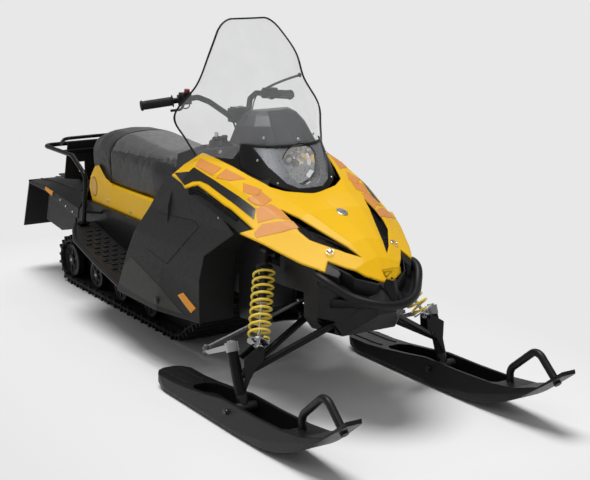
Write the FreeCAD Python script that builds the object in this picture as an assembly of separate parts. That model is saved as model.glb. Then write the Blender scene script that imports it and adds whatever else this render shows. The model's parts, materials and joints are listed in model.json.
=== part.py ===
import FreeCAD, Part
import math
import os
from FreeCAD import Vector

# A light utility snowmobile: two steered skis in front, one driven track behind.
# Millimetres. +X points forward, +Y to the driver's left, +Z up, the snow at Z = 0.
# Stations (x) are measured from the ski bolts, forward positive. Every piece is moved
# by ORIGIN_X when it is written, so that the origin lies under the middle of the machine.

# ---------------------------------------------------------------- driving dimensions
ORIGIN_X = 935.0          # from the middle of the overall length to the ski bolts
TOUCH = 0.3               # gap between pieces that lie on each other with curved faces

SKI_STANCE = 860.0        # between the two ski centre lines
SKI_BOLT_Z = 67.0
SKI_TAIL_X = -566.0
SKI_TIP_X = 664.0
SKI_WIDTH = 152.0         # across the running plate
SKI_PLATE = 14.0          # thickness of the ski's running plate
SKI_KEEL = 12.0           # depth of the wear bar below the plate
SKI_CHANNEL = 96.0        # between the two raised walls
SKI_WALL_TOP_Z = 98.0
SKI_WALL_LEAN = 0.22      # how far the outer faces lean in, per unit of height
SKI_BOLT_R = 6.0
SKI_LOOP_R = 13.5

CASTER = math.radians(21.5)    # kingpins, relay and column all lean back by this much
KINGPIN_R = 13.0
HOUSING_R = 20.0
HOUSING_FROM = 46.0            # along the kingpin, measured from the ski bolt
HOUSING_TO = 194.0
RUNNING = 0.05                 # radial clearance of every turning pin
STEER_ARM = 190.0              # all steering arms have this length, so the rods run parallel
STEER_ARM_AT = 212.0           # along the kingpin
STUD_R = 6.0
ROD_END_R = 13.0
ROD_END_T = 14.0
TIE_ROD_R = 8.0

RELAY_END = Vector(-80, 0, 396)        # where both tie rods meet the relay arm
COLUMN_TOP = Vector(-765, 0, 925)      # where the handlebar is clamped to the column
COLUMN_DOWN = 366.0                    # length of the column below the clamp
COLUMN_R = 14.0
LINK_ARM = 48.0                        # arms of the drag link, on the column and on the relay
BAR_R = 11.0
BAR_START = Vector(-768, 42, 950)      # the handlebar, from its clamp out to the left grip
BAR_RISE = Vector(-838, 92, 1000)
BAR_BEND = Vector(-857, 131, 1018)
BAR_END = Vector(-930, 333, 991)
GRIP_LENGTH = 118.0

SHOCK_LOW = Vector(-19, 361, 264)
SHOCK_TOP = Vector(-198, 220, 553)
SPRING_LOW_R = 36.0
SPRING_TOP_R = 33.0
SPRING_WIRE_R = 4.5
SPRING_TURNS = 9.5
SPRING_FROM = 26.0             # along the shock, measured from its lower eye
SPRING_TO = 296.0
DAMPER_FROM = 168.0            # the damper's body hangs from the top down to here
EYE_R = 13.0                   # of the shock's end eyes
EYE_L = 30.0
LUG_T = 7.0                    # plates on each side of an eye

ARM_TUBE_R = 12.5
ARM_BUSH_R = 15.0
ARM_BUSH_L = 40.0
PIVOT_BOLT_R = 5.0

RAIL_Y = 88.0                          # middle of each box rail of the front frame
RAIL_W = 30.0
RAIL_TOP_Z = 322.0
RAIL_H = 16.0
RAIL_END_X = 112.0
ARM_FRONT = Vector(90, RAIL_Y + 34, RAIL_TOP_Z + 16)      # inner pivots of the lower arm
ARM_REAR = Vector(-86, RAIL_Y + 34, RAIL_TOP_Z - 2)

TRACK_WIDTH = 380.0
TRACK_BELT = 8.0
LUG_HEIGHT = 22.0
LUG_COUNT = 50
LUG_LENGTH = 16.0
IDLER_R = 84.0
IDLER_X = -2095.0
SPROCKET_R = 80.0
SPROCKET = Vector(-665, 0, 318)
RAIL_NOSE_R = 150.0
RAIL_NOSE_X = -1010.0
CARRIER_R = 45.0
CARRIER = Vector(-1480, 0, 345)

TRACK_SIDE_ROOM = 18.0         # from the track's edge to the tunnel's outside
TUNNEL_HALF = TRACK_WIDTH / 2 + TRACK_SIDE_ROOM
TUNNEL_TOP_Z = 455.0
TUNNEL_FRONT_X = -540.0
TUNNEL_REAR_X = -2190.0
TUNNEL_T = 3.0
TUNNEL_SIDE_Z = 300.0

SHELL_T = 5.0                          # wall of the moulded body panels
SEAT_HALF = TUNNEL_HALF - 20
BASE_FRONT_X = -1060.0
BASE_REAR_X = -1800.0
BASE_TOP_Z = 560.0

RACK_R = 10.0
RACK_HALF = 250.0
RACK_Z = 660.0

AXIS = Vector(-math.sin(CASTER), 0, math.cos(CASTER))     # up along a kingpin
BACK = Vector(-math.cos(CASTER), 0, -math.sin(CASTER))    # back along a steering arm
ACROSS = Vector(0, 1, 0)
COLUMN_FOOT = COLUMN_TOP - AXIS * COLUMN_DOWN
SHOCK_WAY = (SHOCK_TOP - SHOCK_LOW).normalize()
EYE_AXIS = Vector(1, 0, 0)


# ---------------------------------------------------------------- small building helpers
def box(x0, x1, y0, y1, z0, z1):
    return Part.makeBox(x1 - x0, y1 - y0, z1 - z0, Vector(x0, y0, z0))


def rod(a, b, radius):
    """A round bar from point a to point b."""
    return Part.makeCylinder(radius, (b - a).Length, a, b - a)


def ring(centre, direction, outer, inner, length):
    """A sleeve whose middle is at centre."""
    axis = Vector(direction).normalize()
    start = centre - axis * (length / 2)
    sleeve = Part.makeCylinder(outer, length, start, axis)
    return sleeve.cut(Part.makeCylinder(inner, length + 2, start - axis, axis))


def disc(centre, direction, radius, length):
    axis = Vector(direction).normalize()
    return Part.makeCylinder(radius, length, centre - axis * (length / 2), axis)


def plate_xz(points, y0, y1):
    """A flat piece drawn from the side, (x, z), and as thick as y0 to y1."""
    corners = [Vector(x, y0, z) for x, z in points]
    face = Part.Face(Part.makePolygon(corners + corners[:1]))
    return face.extrude(Vector(0, y1 - y0, 0))


def plate_xy(points, z0, z1):
    corners = [Vector(x, y, z0) for x, y in points]
    face = Part.Face(Part.makePolygon(corners + corners[:1]))
    return face.extrude(Vector(0, 0, z1 - z0))


def plate_yz(points, x0, x1):
    corners = [Vector(x0, y, z) for y, z in points]
    face = Part.Face(Part.makePolygon(corners + corners[:1]))
    return face.extrude(Vector(x1 - x0, 0, 0))


def loft(sections):
    """A ruled solid through closed polygons that all have the same number of corners."""
    wires = [Part.makePolygon(list(s) + [s[0]]) for s in sections]
    return Part.makeLoft(wires, True, True)


def both_sides(half):
    """Half an outline at +Y, front to rear, made whole by mirroring it."""
    return list(half) + [(x, -y) for x, y in reversed(half) if abs(y) > 1e-6]


def bent_tube(points, radius, bend):
    """A round tube along straight runs joined by tangent arcs."""
    edges = []
    start = points[0]
    for before, corner, after in zip(points, points[1:], points[2:]):
        into = (before - corner).normalize()
        out = (after - corner).normalize()
        half_turn = (math.pi - into.getAngle(out)) / 2
        trim = bend * math.tan(half_turn)
        first, last = corner + into * trim, corner + out * trim
        middle_way = (into + out).normalize()
        reach = bend / math.cos(half_turn) - bend
        edges.append(Part.LineSegment(start, first).toShape())
        edges.append(Part.Arc(first, corner + middle_way * reach, last).toShape())
        start = last
    edges.append(Part.LineSegment(start, points[-1]).toShape())
    path = Part.Wire(edges)
    circle = Part.makeCircle(radius, points[0], points[1] - points[0])
    return path.makePipeShell([Part.Wire(circle)], True, False)


def mirrored(shape):
    return shape.mirror(Vector(0, 0, 0), Vector(0, 1, 0))


def fuse(*pieces):
    return pieces[0].multiFuse(list(pieces[1:])).removeSplitter()


def save(name, *solids):
    """Write one node, moved so that the origin lies under the middle of the machine."""
    shape = Part.makeCompound(list(solids)) if len(solids) > 1 else solids[0]
    shape = shape.copy()
    shape.translate(Vector(ORIGIN_X, 0, 0))
    shape.exportStep("parts/" + name + ".step")


def save_pair(name, left):
    """Write a left piece and its mirror image."""
    save(name + "_left", left)
    save(name + "_right", mirrored(left))


# ---------------------------------------------------------------- skis and steering
KING_Y = SKI_STANCE / 2
KING_FOOT = Vector(0, KING_Y, SKI_BOLT_Z)

SKI_SWEEP_R = 600.0                    # the front sweeps up on this radius
SKI_SWEEP = math.radians(35)
SKI_FLAT_END_X = SKI_TIP_X - 489.0
SWEEP_MID = Vector(SKI_FLAT_END_X, 0, SKI_KEEL + SKI_SWEEP_R)
SKI_FOOT_Z = 20.0                      # the sides stand upright below this height and lean in above
SKI_ROOM_Z = 300.0                     # a height above every part of the ski but its loop
# Upper edge of the ski's raised sides, tail to tip: x, z.
SKI_SIDE = [(SKI_TAIL_X, 54), (-400, 56), (-300, 64), (-150, 82), (-40, SKI_WALL_TOP_Z),
            (150, SKI_WALL_TOP_Z + 2), (330, 107), (450, 122), (560, 156)]
# Plan of the running plate, tip to tail: x, half width.
SKI_PLAN = [(SKI_TIP_X + 12, 20), (SKI_TIP_X - 24, 36), (SKI_TIP_X - 104, 50), (SKI_TIP_X - 244, 60),
            (SKI_TIP_X - 430, SKI_WIDTH / 2 - 5), (SKI_TIP_X - 600, SKI_WIDTH / 2),
            (SKI_TAIL_X + 110, SKI_WIDTH / 2), (SKI_TAIL_X + 52, SKI_WIDTH / 2 - 8),
            (SKI_TAIL_X + 16, SKI_WIDTH / 2 - 28), (SKI_TAIL_X, 22)]
# The grab loop, rear foot to front foot: x, z.
SKI_LOOP = [(378, 70), (370, 158), (504, 266), (612, 172)]


def on_sweep(angle):
    """The underside of the plate, this far round the front sweep."""
    return SWEEP_MID + Vector(math.sin(angle), 0, -math.cos(angle)) * SKI_SWEEP_R


def ski_side():
    """The ski seen from the side, as a flat face."""
    slope = Vector(math.cos(SKI_SWEEP), 0, math.sin(SKI_SWEEP))
    sweep_end = on_sweep(SKI_SWEEP)
    tip_low = sweep_end + slope * ((SKI_TIP_X - sweep_end.x) / slope.x)
    tip_top = tip_low + Vector(-slope.z, 0, slope.x) * SKI_PLATE
    tail_bend = Vector(SKI_TAIL_X + 90, 0, SKI_KEEL)
    crest = [Vector(x, 0, z) for x, z in reversed(SKI_SIDE)]
    runs = [
        Part.LineSegment(tail_bend, on_sweep(0)),
        Part.Arc(on_sweep(0), on_sweep(SKI_SWEEP / 2), sweep_end),
        Part.LineSegment(sweep_end, tip_low),
        Part.LineSegment(tip_low, tip_top),
        Part.LineSegment(tip_top, crest[0]),
    ]
    runs += [Part.LineSegment(a, b) for a, b in zip(crest, crest[1:])]
    tail_low = Vector(SKI_TAIL_X, 0, SKI_KEEL + 26)
    runs += [Part.LineSegment(crest[-1], tail_low), Part.LineSegment(tail_low, tail_bend)]
    return Part.Face(Part.Wire([run.toShape() for run in runs]))


def make_ski():
    """A moulded ski: leaning sides, a channel for the spindle's foot, a grab loop and a wear bar."""
    half = SKI_WIDTH / 2
    side = ski_side()
    side.translate(Vector(0, -half, 0))
    body = side.extrude(Vector(0, SKI_WIDTH, 0)).common(plate_xy(both_sides(SKI_PLAN), -5, SKI_ROOM_Z))
    top_half = half - (SKI_ROOM_Z - SKI_FOOT_Z) * SKI_WALL_LEAN
    cross_section = plate_yz([(-half, -5), (half, -5), (half, SKI_FOOT_Z), (top_half, SKI_ROOM_Z),
                              (-top_half, SKI_ROOM_Z), (-half, SKI_FOOT_Z)], SKI_TAIL_X - 20, SKI_TIP_X + 30)
    body = body.common(cross_section)

    inside = SKI_CHANNEL / 2
    channel = plate_xy(both_sides([(345, inside - 16), (318, inside), (-270, inside), (-312, inside - 22)]),
                       SKI_KEEL + SKI_PLATE, SKI_ROOM_Z)
    over_sweep = rod(SWEEP_MID - ACROSS * half, SWEEP_MID + ACROSS * half, SKI_SWEEP_R - SKI_PLATE)
    over_sweep = over_sweep.common(box(SKI_FLAT_END_X, SKI_TIP_X, -half, half, 0, SKI_ROOM_Z))
    over_flat = box(SKI_TAIL_X, SKI_FLAT_END_X, -half, half, 0, SKI_ROOM_Z)
    channel = channel.common(over_sweep.fuse(over_flat))
    keel = box(SKI_TAIL_X + 136, SKI_FLAT_END_X, -12, 12, 0, SKI_KEEL + 2)
    loop = bent_tube([Vector(x, 0, z) for x, z in SKI_LOOP], SKI_LOOP_R, 42)
    ski = fuse(body.cut(channel), keel, loop)
    ski = ski.cut(disc(Vector(0, 0, SKI_BOLT_Z), ACROSS, SKI_BOLT_R + RUNNING, SKI_WIDTH + 30))
    ski.translate(Vector(0, KING_Y, 0))
    return ski


def make_spindle():
    boss_half = SKI_CHANNEL / 2 - 2
    foot = KING_FOOT
    boss = rod(foot - ACROSS * boss_half, foot + ACROSS * boss_half, 20)
    head_at = SKI_WIDTH / 2 - 3
    bolt = rod(foot - ACROSS * head_at, foot + ACROSS * head_at, SKI_BOLT_R)
    heads = [disc(foot + ACROSS * head_at * s, ACROSS, 10, 7) for s in (-1, 1)]
    pin = rod(foot + AXIS * 5, foot + AXIS * (STEER_ARM_AT + 22), KINGPIN_R)
    collar = rod(foot + AXIS * 12, foot + AXIS * (HOUSING_FROM - 0.5), HOUSING_R - 1)
    hub_from = foot + AXIS * (HOUSING_TO + 0.5)
    hub = rod(hub_from, foot + AXIS * (STEER_ARM_AT + 16), 23)
    arm_root = foot + AXIS * STEER_ARM_AT
    arm_end = arm_root + BACK * STEER_ARM
    arm = loft([bar_section(arm_root, 17, 11), bar_section(arm_end, 11, 7)])
    eye = disc(arm_end, AXIS, 15, 16)
    stud = rod(arm_end, arm_end + AXIS * 30, STUD_R)
    return fuse(pin, boss, bolt, heads[0], heads[1], collar, hub, arm, eye, stud)


def bar_section(centre, half_width, half_height):
    """A rectangle across a steering arm."""
    y, n = ACROSS * half_width, AXIS * half_height
    return [centre + y + n, centre - y + n, centre - y - n, centre + y - n]


ROD_LIFT = 8 + 2 + ROD_END_T / 2          # from an arm's middle plane to a rod end's
RELAY_LIFT = ROD_LIFT + 13                # the rods slope down from the relay, so they stand off more
HIGH_ROD = RELAY_LIFT + ROD_END_T + 11    # the second rod end sits above the first
TIE_OUTER = KING_FOOT + AXIS * (STEER_ARM_AT + ROD_LIFT) + BACK * STEER_ARM
RELAY_AXIS = RELAY_END - BACK * STEER_ARM
LINK_TOP = RELAY_AXIS + AXIS * 60         # foot of the arm that the drag link turns


def make_tie_rod(outer, inner):
    """A rod with an eye at each end, both turning about the raked steering axis."""
    eyes = [disc(p, AXIS, ROD_END_R, ROD_END_T) for p in (outer, inner)]
    bar = fuse(rod(outer, inner, TIE_ROD_R), eyes[0], eyes[1])
    for p in (outer, inner):
        bar = bar.cut(disc(p, AXIS, STUD_R + RUNNING, 60))
    return bar


def make_relay():
    """Front steering relay: a pivot in the frame's nose, and an arm that carries both tie rods."""
    pivot = rod(RELAY_AXIS - AXIS * 60, LINK_TOP + AXIS * 14, 12)
    hub = disc(RELAY_AXIS, AXIS, 22, 22)
    arm = loft([bar_section(RELAY_AXIS, 17, 9), bar_section(RELAY_END, 12, 7)])
    eye = disc(RELAY_END, AXIS, 15, 16)
    stud = rod(RELAY_END, RELAY_END + AXIS * (HIGH_ROD + ROD_END_T / 2 + 4), STUD_R)
    side_hub = disc(LINK_TOP, AXIS, 18, 20)
    side_end = LINK_TOP + ACROSS * LINK_ARM
    side_arm = loft([side_section(LINK_TOP, 14, 8), side_section(side_end, 11, 7)])
    side_eye = disc(side_end, AXIS, 13, 16)
    side_stud = rod(side_end, side_end + AXIS * 30, STUD_R)
    return fuse(pivot, hub, arm, eye, stud, side_hub, side_arm, side_eye, side_stud)


def side_section(centre, half_width, half_height):
    """A rectangle across an arm that points sideways."""
    x, n = BACK * half_width, AXIS * half_height
    return [centre + x + n, centre - x + n, centre - x - n, centre + x - n]


def make_column():
    shaft = rod(COLUMN_FOOT - AXIS * 60, COLUMN_TOP + AXIS * 12, COLUMN_R)
    arm = loft([side_section(COLUMN_FOOT, 14, 8), side_section(COLUMN_FOOT + ACROSS * LINK_ARM, 11, 7)])
    eye = disc(COLUMN_FOOT + ACROSS * LINK_ARM, AXIS, 13, 16)
    stud = rod(COLUMN_FOOT + ACROSS * LINK_ARM, COLUMN_FOOT + ACROSS * LINK_ARM - AXIS * 30, STUD_R)
    return fuse(shaft, arm, eye, stud)


def make_handlebar():
    left = [BAR_START, BAR_RISE, BAR_BEND, BAR_END]
    points = [Vector(p.x, -p.y, p.z) for p in reversed(left)] + left
    return bent_tube(points, BAR_R, 24)


def grip_ends():
    way = (BAR_END - BAR_BEND).normalize()
    return BAR_END - way * GRIP_LENGTH, BAR_END, way


def make_grips():
    start, end, way = grip_ends()
    grip = rod(start, end + way * 4, 17).cut(make_handlebar())
    return grip, mirrored(grip)


def make_bar_clamp():
    middle = COLUMN_TOP + Vector(-3, 0, 25)
    block = box(middle.x - 24, middle.x + 24, -36, 36, middle.z - 26, middle.z + 26)
    block = block.cut(make_handlebar())
    top = COLUMN_TOP + AXIS * 12
    return block.cut(rod(top - AXIS * 80, top, COLUMN_R))


def make_brake():
    start, end, way = grip_ends()
    at = start - way * 36
    perch = disc(at, way, 20, 26).cut(rod(start - way * 70, end, BAR_R))
    ahead = Vector(1, 0, 0)
    reservoir = box(at.x + 12, at.x + 52, at.y - 24, at.y + 24, at.z - 4, at.z + 26)
    lever = bent_tube([at + ahead * 30 + Vector(0, 10, 0), at + ahead * 62 + way * 40,
                       at + ahead * 58 + way * 130], 6, 18)
    return biggest(fuse(perch, reservoir, lever).cut(make_handlebar()))


def make_throttle():
    start, end, way = grip_ends()
    at = start - way * 36
    block = disc(at, way, 21, 34).cut(rod(start - way * 70, end, BAR_R))
    pod = box(at.x + 6, at.x + 46, at.y - 18, at.y + 18, at.z - 14, at.z + 30)
    thumb = bent_tube([at + Vector(20, 0, -10), at + Vector(30, 20, -34), at + Vector(0, 50, -40)], 5, 12)
    return mirrored(biggest(fuse(block, pod, thumb).cut(make_handlebar())))


# ---------------------------------------------------------------- front suspension and frame
def make_a_arm():
    foot = KING_FOOT
    housing = rod(foot + AXIS * HOUSING_FROM, foot + AXIS * HOUSING_TO, HOUSING_R)
    low = foot + AXIS * 104
    tubes = [rod(low, ARM_FRONT, ARM_TUBE_R), rod(low, ARM_REAR, ARM_TUBE_R)]
    bushes = [disc(p, Vector(1, 0, 0), ARM_BUSH_R, ARM_BUSH_L) for p in (ARM_FRONT, ARM_REAR)]
    y, z = SHOCK_LOW.y, SHOCK_LOW.z
    lug = [(y - 14, z - 2), (y - 8, z + 8), (y + 8, z + 10), (y + 20, z + 4), (KING_Y - 4, z - 24),
           (KING_Y - 8, z - 138), (KING_Y - 24, z - 104), (KING_Y - 50, z - 62), (y - 10, z - 46)]
    offset = EYE_L / 2
    ears = [plate_yz(lug, SHOCK_LOW.x + offset, SHOCK_LOW.x + offset + LUG_T),
            plate_yz(lug[:5] + lug[7:], SHOCK_LOW.x - offset - LUG_T, SHOCK_LOW.x - offset)]
    arm = fuse(housing, *(tubes + bushes + ears))
    arm = arm.fuse(disc(SHOCK_LOW, EYE_AXIS, PIVOT_BOLT_R, EYE_L + 2 * LUG_T + 10))
    arm = arm.cut(rod(foot + AXIS * 20, foot + AXIS * 240, KINGPIN_R + RUNNING))
    for p in (ARM_FRONT, ARM_REAR):
        arm = arm.cut(disc(p, Vector(1, 0, 0), PIVOT_BOLT_R, ARM_BUSH_L + 4))
    return arm


def make_shock():
    way = SHOCK_WAY
    eyes = [disc(p, EYE_AXIS, EYE_R, EYE_L) for p in (SHOCK_LOW, SHOCK_TOP)]
    piston = rod(SHOCK_LOW, SHOCK_LOW + way * DAMPER_FROM, 6)
    collar = disc(SHOCK_LOW + way * DAMPER_FROM, way, 19, 7)
    body = rod(SHOCK_LOW + way * DAMPER_FROM, SHOCK_LOW + way * SPRING_TO, 16)
    neck = rod(SHOCK_LOW + way * SPRING_TO, SHOCK_TOP, 7)
    seat_low = disc(SHOCK_LOW + way * (SPRING_FROM - 2.5), way, SPRING_LOW_R + 3, 5)
    seat_top = disc(SHOCK_LOW + way * (SPRING_TO + 4), way, SPRING_TOP_R - 4, 8)
    top_cup = disc(SHOCK_LOW + way * (SPRING_TO + 15), way, 13, 16)
    shock = fuse(piston, collar, body, neck, seat_low, seat_top, top_cup, *eyes)
    for p in (SHOCK_LOW, SHOCK_TOP):
        shock = shock.cut(disc(p, EYE_AXIS, PIVOT_BOLT_R, 60))
    return shock


def make_spring():
    """A coil that tapers from its wide foot to its narrower head."""
    height = SPRING_TO - SPRING_FROM - 2 * SPRING_WIRE_R
    taper = math.degrees(math.atan((SPRING_TOP_R - SPRING_LOW_R) / height))
    helix = Part.makeHelix(height / SPRING_TURNS, height, SPRING_LOW_R, taper, True)
    start = helix.Edges[0].firstVertex().Point
    tangent = helix.Edges[0].tangentAt(helix.Edges[0].FirstParameter)
    circle = Part.Wire(Part.makeCircle(SPRING_WIRE_R, start, tangent))
    coil = Part.Wire(helix.Edges).makePipeShell([circle], True, True)
    coil.Placement = FreeCAD.Placement(SHOCK_LOW + SHOCK_WAY * (SPRING_FROM + SPRING_WIRE_R),
                                       FreeCAD.Rotation(Vector(0, 0, 1), SHOCK_WAY))
    return coil


def make_front_frame():
    """Two box rails with the arm pivots, the shock tower and the relay's bearing."""
    low = RAIL_TOP_Z - RAIL_H
    rail = box(TUNNEL_FRONT_X, RAIL_END_X, RAIL_Y - RAIL_W / 2, RAIL_Y + RAIL_W / 2, low, RAIL_TOP_Z)
    upright = box(-212, -184, RAIL_Y - 14, RAIL_Y + 14, low, 548)
    beam = box(-221, -175, RAIL_Y - 14, SHOCK_TOP.y - 22, 526, 568)
    half = [rail, upright, beam]
    for p in (ARM_FRONT, ARM_REAR):
        for side in (-1, 1):
            x0 = p.x + side * (ARM_BUSH_L / 2 + 3) - 3
            half.append(box(x0, x0 + 6, RAIL_Y + 10, p.y + 14, RAIL_TOP_Z - 12, p.z + 14))
        half.append(disc(p, Vector(1, 0, 0), PIVOT_BOLT_R, ARM_BUSH_L + 24))
    for side in (-1, 1):
        lug = SHOCK_TOP + EYE_AXIS * side * (EYE_L / 2 + LUG_T / 2)
        half.append(disc(lug, EYE_AXIS, EYE_R, LUG_T))
        half.append(box(lug.x - LUG_T / 2, lug.x + LUG_T / 2, lug.y - 40, lug.y, lug.z - 12, lug.z + 12))
    half.append(disc(SHOCK_TOP, EYE_AXIS, PIVOT_BOLT_R, EYE_L + 2 * LUG_T + 8))
    left = fuse(*half)
    crosses = [box(x, x + 30, -RAIL_Y, RAIL_Y, low, RAIL_TOP_Z) for x in (-230, 70)]
    cross_beam = box(-212, -184, -RAIL_Y, RAIL_Y, 484, 508)
    bearing = disc(RELAY_AXIS - AXIS * 38, AXIS, 20, 40)
    post = plate_xz([(70, RAIL_TOP_Z - 10), (100, RAIL_TOP_Z - 10), (124, 434), (96, 420)], -13, 13)
    frame = fuse(left, mirrored(left), cross_beam, bearing, post, *crosses)
    return frame.cut(disc(RELAY_AXIS - AXIS * 30, AXIS, 12 + RUNNING, 80))


# ---------------------------------------------------------------- track and its carriage
def belt_circles():
    """The wheels and rail curve that the track runs round, rear to front to top: x, z, radius."""
    idler_z = IDLER_R + TRACK_BELT + LUG_HEIGHT
    nose_z = RAIL_NOSE_R + TRACK_BELT + LUG_HEIGHT
    return [(IDLER_X, idler_z, IDLER_R), (RAIL_NOSE_X, nose_z, RAIL_NOSE_R),
            (SPROCKET.x, SPROCKET.z, SPROCKET_R), (CARRIER.x, CARRIER.z, CARRIER_R)]


def belt_pieces():
    """The inner face of the belt as straight runs and arcs, anticlockwise seen from the right."""
    circles = belt_circles()
    tangents = []
    for (x0, z0, r0), (x1, z1, r1) in zip(circles, circles[1:] + circles[:1]):
        length = math.hypot(x1 - x0, z1 - z0)
        angle = math.atan2(z1 - z0, x1 - x0)
        tangents.append(angle - math.acos((r0 - r1) / length))
    pieces = []
    for i, (x, z, r) in enumerate(circles):
        start, end = tangents[i - 1], tangents[i]
        while end < start:
            end += 2 * math.pi
        pieces.append(("arc", x, z, r, start, end))
        x1, z1, r1 = circles[(i + 1) % len(circles)]
        pieces.append(("run", x, z, r, end, (x1, z1, r1)))
    return pieces


def on_circle(x, z, radius, angle):
    return Vector(x + radius * math.cos(angle), 0, z + radius * math.sin(angle))


def belt_outline(offset):
    edges = []
    for piece in belt_pieces():
        if piece[0] == "arc":
            x, z, r, start, end = piece[1:]
            stops = [on_circle(x, z, r + offset, angle) for angle in (start, (start + end) / 2, end)]
            edges.append(Part.Arc(*stops).toShape())
        else:
            x, z, r, normal, (x1, z1, r1) = piece[1:]
            ends = on_circle(x, z, r + offset, normal), on_circle(x1, z1, r1 + offset, normal)
            edges.append(Part.LineSegment(*ends).toShape())
    return Part.Wire(edges)


def belt_solid(inner, outer, half_width):
    ring_face = Part.Face([belt_outline(outer), belt_outline(inner)])
    ring_face.translate(Vector(0, -half_width, 0))
    return ring_face.extrude(Vector(0, 2 * half_width, 0))


def make_track():
    belt = belt_solid(0, TRACK_BELT, TRACK_WIDTH / 2)
    line = belt_outline(TRACK_BELT - 1)
    lugs = []
    step = line.Length / LUG_COUNT
    for i in range(LUG_COUNT):
        at, way = point_and_way(line, i * step)
        out = Vector(way.z, 0, -way.x)
        top = LUG_HEIGHT + 1
        corners = [at - way * LUG_LENGTH / 2, at + way * LUG_LENGTH / 2,
                   at + way * LUG_LENGTH / 3 + out * top, at - way * LUG_LENGTH / 3 + out * top]
        corners = [c - ACROSS * TRACK_WIDTH / 2 for c in corners]
        lugs.append(Part.Face(Part.makePolygon(corners + corners[:1])).extrude(ACROSS * TRACK_WIDTH))
    return belt.multiFuse(lugs)


def point_and_way(wire, distance):
    """The point at a distance along the belt, and its direction of travel there."""
    for edge in wire.OrderedEdges:
        if distance <= edge.Length:
            t = edge.getParameterByLength(distance)
            at, way = edge.valueAt(t), edge.tangentAt(t)
            return at, way
        distance -= edge.Length
    return edge.valueAt(edge.LastParameter), edge.tangentAt(edge.LastParameter)


RAIL_FACE_Y = 110.0
AXLE_R = 12.0
BOGIE_AXLE_R = 9.0
BOGIES = [(-1260, 62), (-1560, 62), (-1825, 66)]      # station and radius


def bogie_z(radius):
    """Height of a wheel's axle when the wheel rolls on the inside of the belt's lower run."""
    return TRACK_BELT + LUG_HEIGHT + radius


def wheel(x, z, radius, y, width=28.0):
    centre = Vector(x, y, z)
    body = disc(centre, ACROSS, radius - 0.5, width)
    groove = ring(centre, ACROSS, radius * 0.72, radius * 0.30, width - 10)
    for s in (-1, 1):
        recess = groove.copy()
        recess.translate(ACROSS * s * (width - 8))
        body = body.cut(recess)
    return body


def make_slide_rails():
    idler_z = IDLER_R + TRACK_BELT + LUG_HEIGHT
    low = TRACK_BELT + LUG_HEIGHT + 1
    nose_z = RAIL_NOSE_R + TRACK_BELT + LUG_HEIGHT
    outline = [(IDLER_X - 30, idler_z - 16), (IDLER_X - 30, idler_z + 16), (IDLER_X + 60, idler_z + 20),
               (RAIL_NOSE_X - 300, 118), (RAIL_NOSE_X, 118), (RAIL_NOSE_X + 96, nose_z - 40),
               (RAIL_NOSE_X + 70, low + 38), (RAIL_NOSE_X + 8, low), (IDLER_X + 110, low),
               (IDLER_X + 96, idler_z - 16)]
    rails = [plate_xz(outline, s * RAIL_FACE_Y - 8, s * RAIL_FACE_Y + 8) for s in (-1, 1)]
    axles = [(x, bogie_z(r), BOGIE_AXLE_R) for x, r in BOGIES] + [(IDLER_X, idler_z, AXLE_R)]
    for x, z, r in axles:
        rails = [rail.cut(rod(Vector(x, -200, z), Vector(x, 200, z), r)) for rail in rails]
    bars = [rod(Vector(x, -RAIL_FACE_Y, z), Vector(x, RAIL_FACE_Y, z), 11)
            for x, z in ((-1120, 90), (-1500, 90), (-1880, 96))]
    return fuse(*(rails + bars))


def make_idlers():
    z = IDLER_R + TRACK_BELT + LUG_HEIGHT
    wheels = [wheel(IDLER_X, z, IDLER_R, y) for y in (-155, 155)]
    axle = rod(Vector(IDLER_X, -172, z), Vector(IDLER_X, 172, z), AXLE_R)
    return fuse(axle, *wheels)


def make_bogies():
    sets = []
    for x, r in BOGIES:
        z = bogie_z(r)
        wheels = [wheel(x, z, r, y, 24.0) for y in (-150, 150)]
        sets.append(fuse(rod(Vector(x, -165, z), Vector(x, 165, z), BOGIE_AXLE_R), *wheels))
    return sets


def make_drive():
    shaft = rod(Vector(SPROCKET.x, -TUNNEL_HALF + 5, SPROCKET.z),
                Vector(SPROCKET.x, TUNNEL_HALF - 5, SPROCKET.z), 15)
    wheels = [disc(SPROCKET + ACROSS * y, ACROSS, SPROCKET_R - 0.5, 34) for y in (-95, 95)]
    return fuse(shaft, *wheels)


def make_carriage_arms():
    """Swing arms between the tunnel and the slide rails, and the upper carrier wheels."""
    pieces = []
    for top, foot, spread in ((Vector(-800, 0, 345), Vector(-1120, 0, 90), 92),
                              (Vector(-1480, 0, 345), Vector(-1880, 0, 96), 92)):
        for s in (-1, 1):
            pieces.append(rod(top + ACROSS * spread * s, foot + ACROSS * spread * s, 12))
        pieces.append(disc(top, ACROSS, 13, 2 * (TUNNEL_HALF - TUNNEL_T)))
    pieces += [disc(CARRIER + ACROSS * y, ACROSS, CARRIER_R - 0.5, 28) for y in (-150, 150)]
    arms = fuse(*pieces)
    return arms.cut(make_slide_rails())


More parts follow.
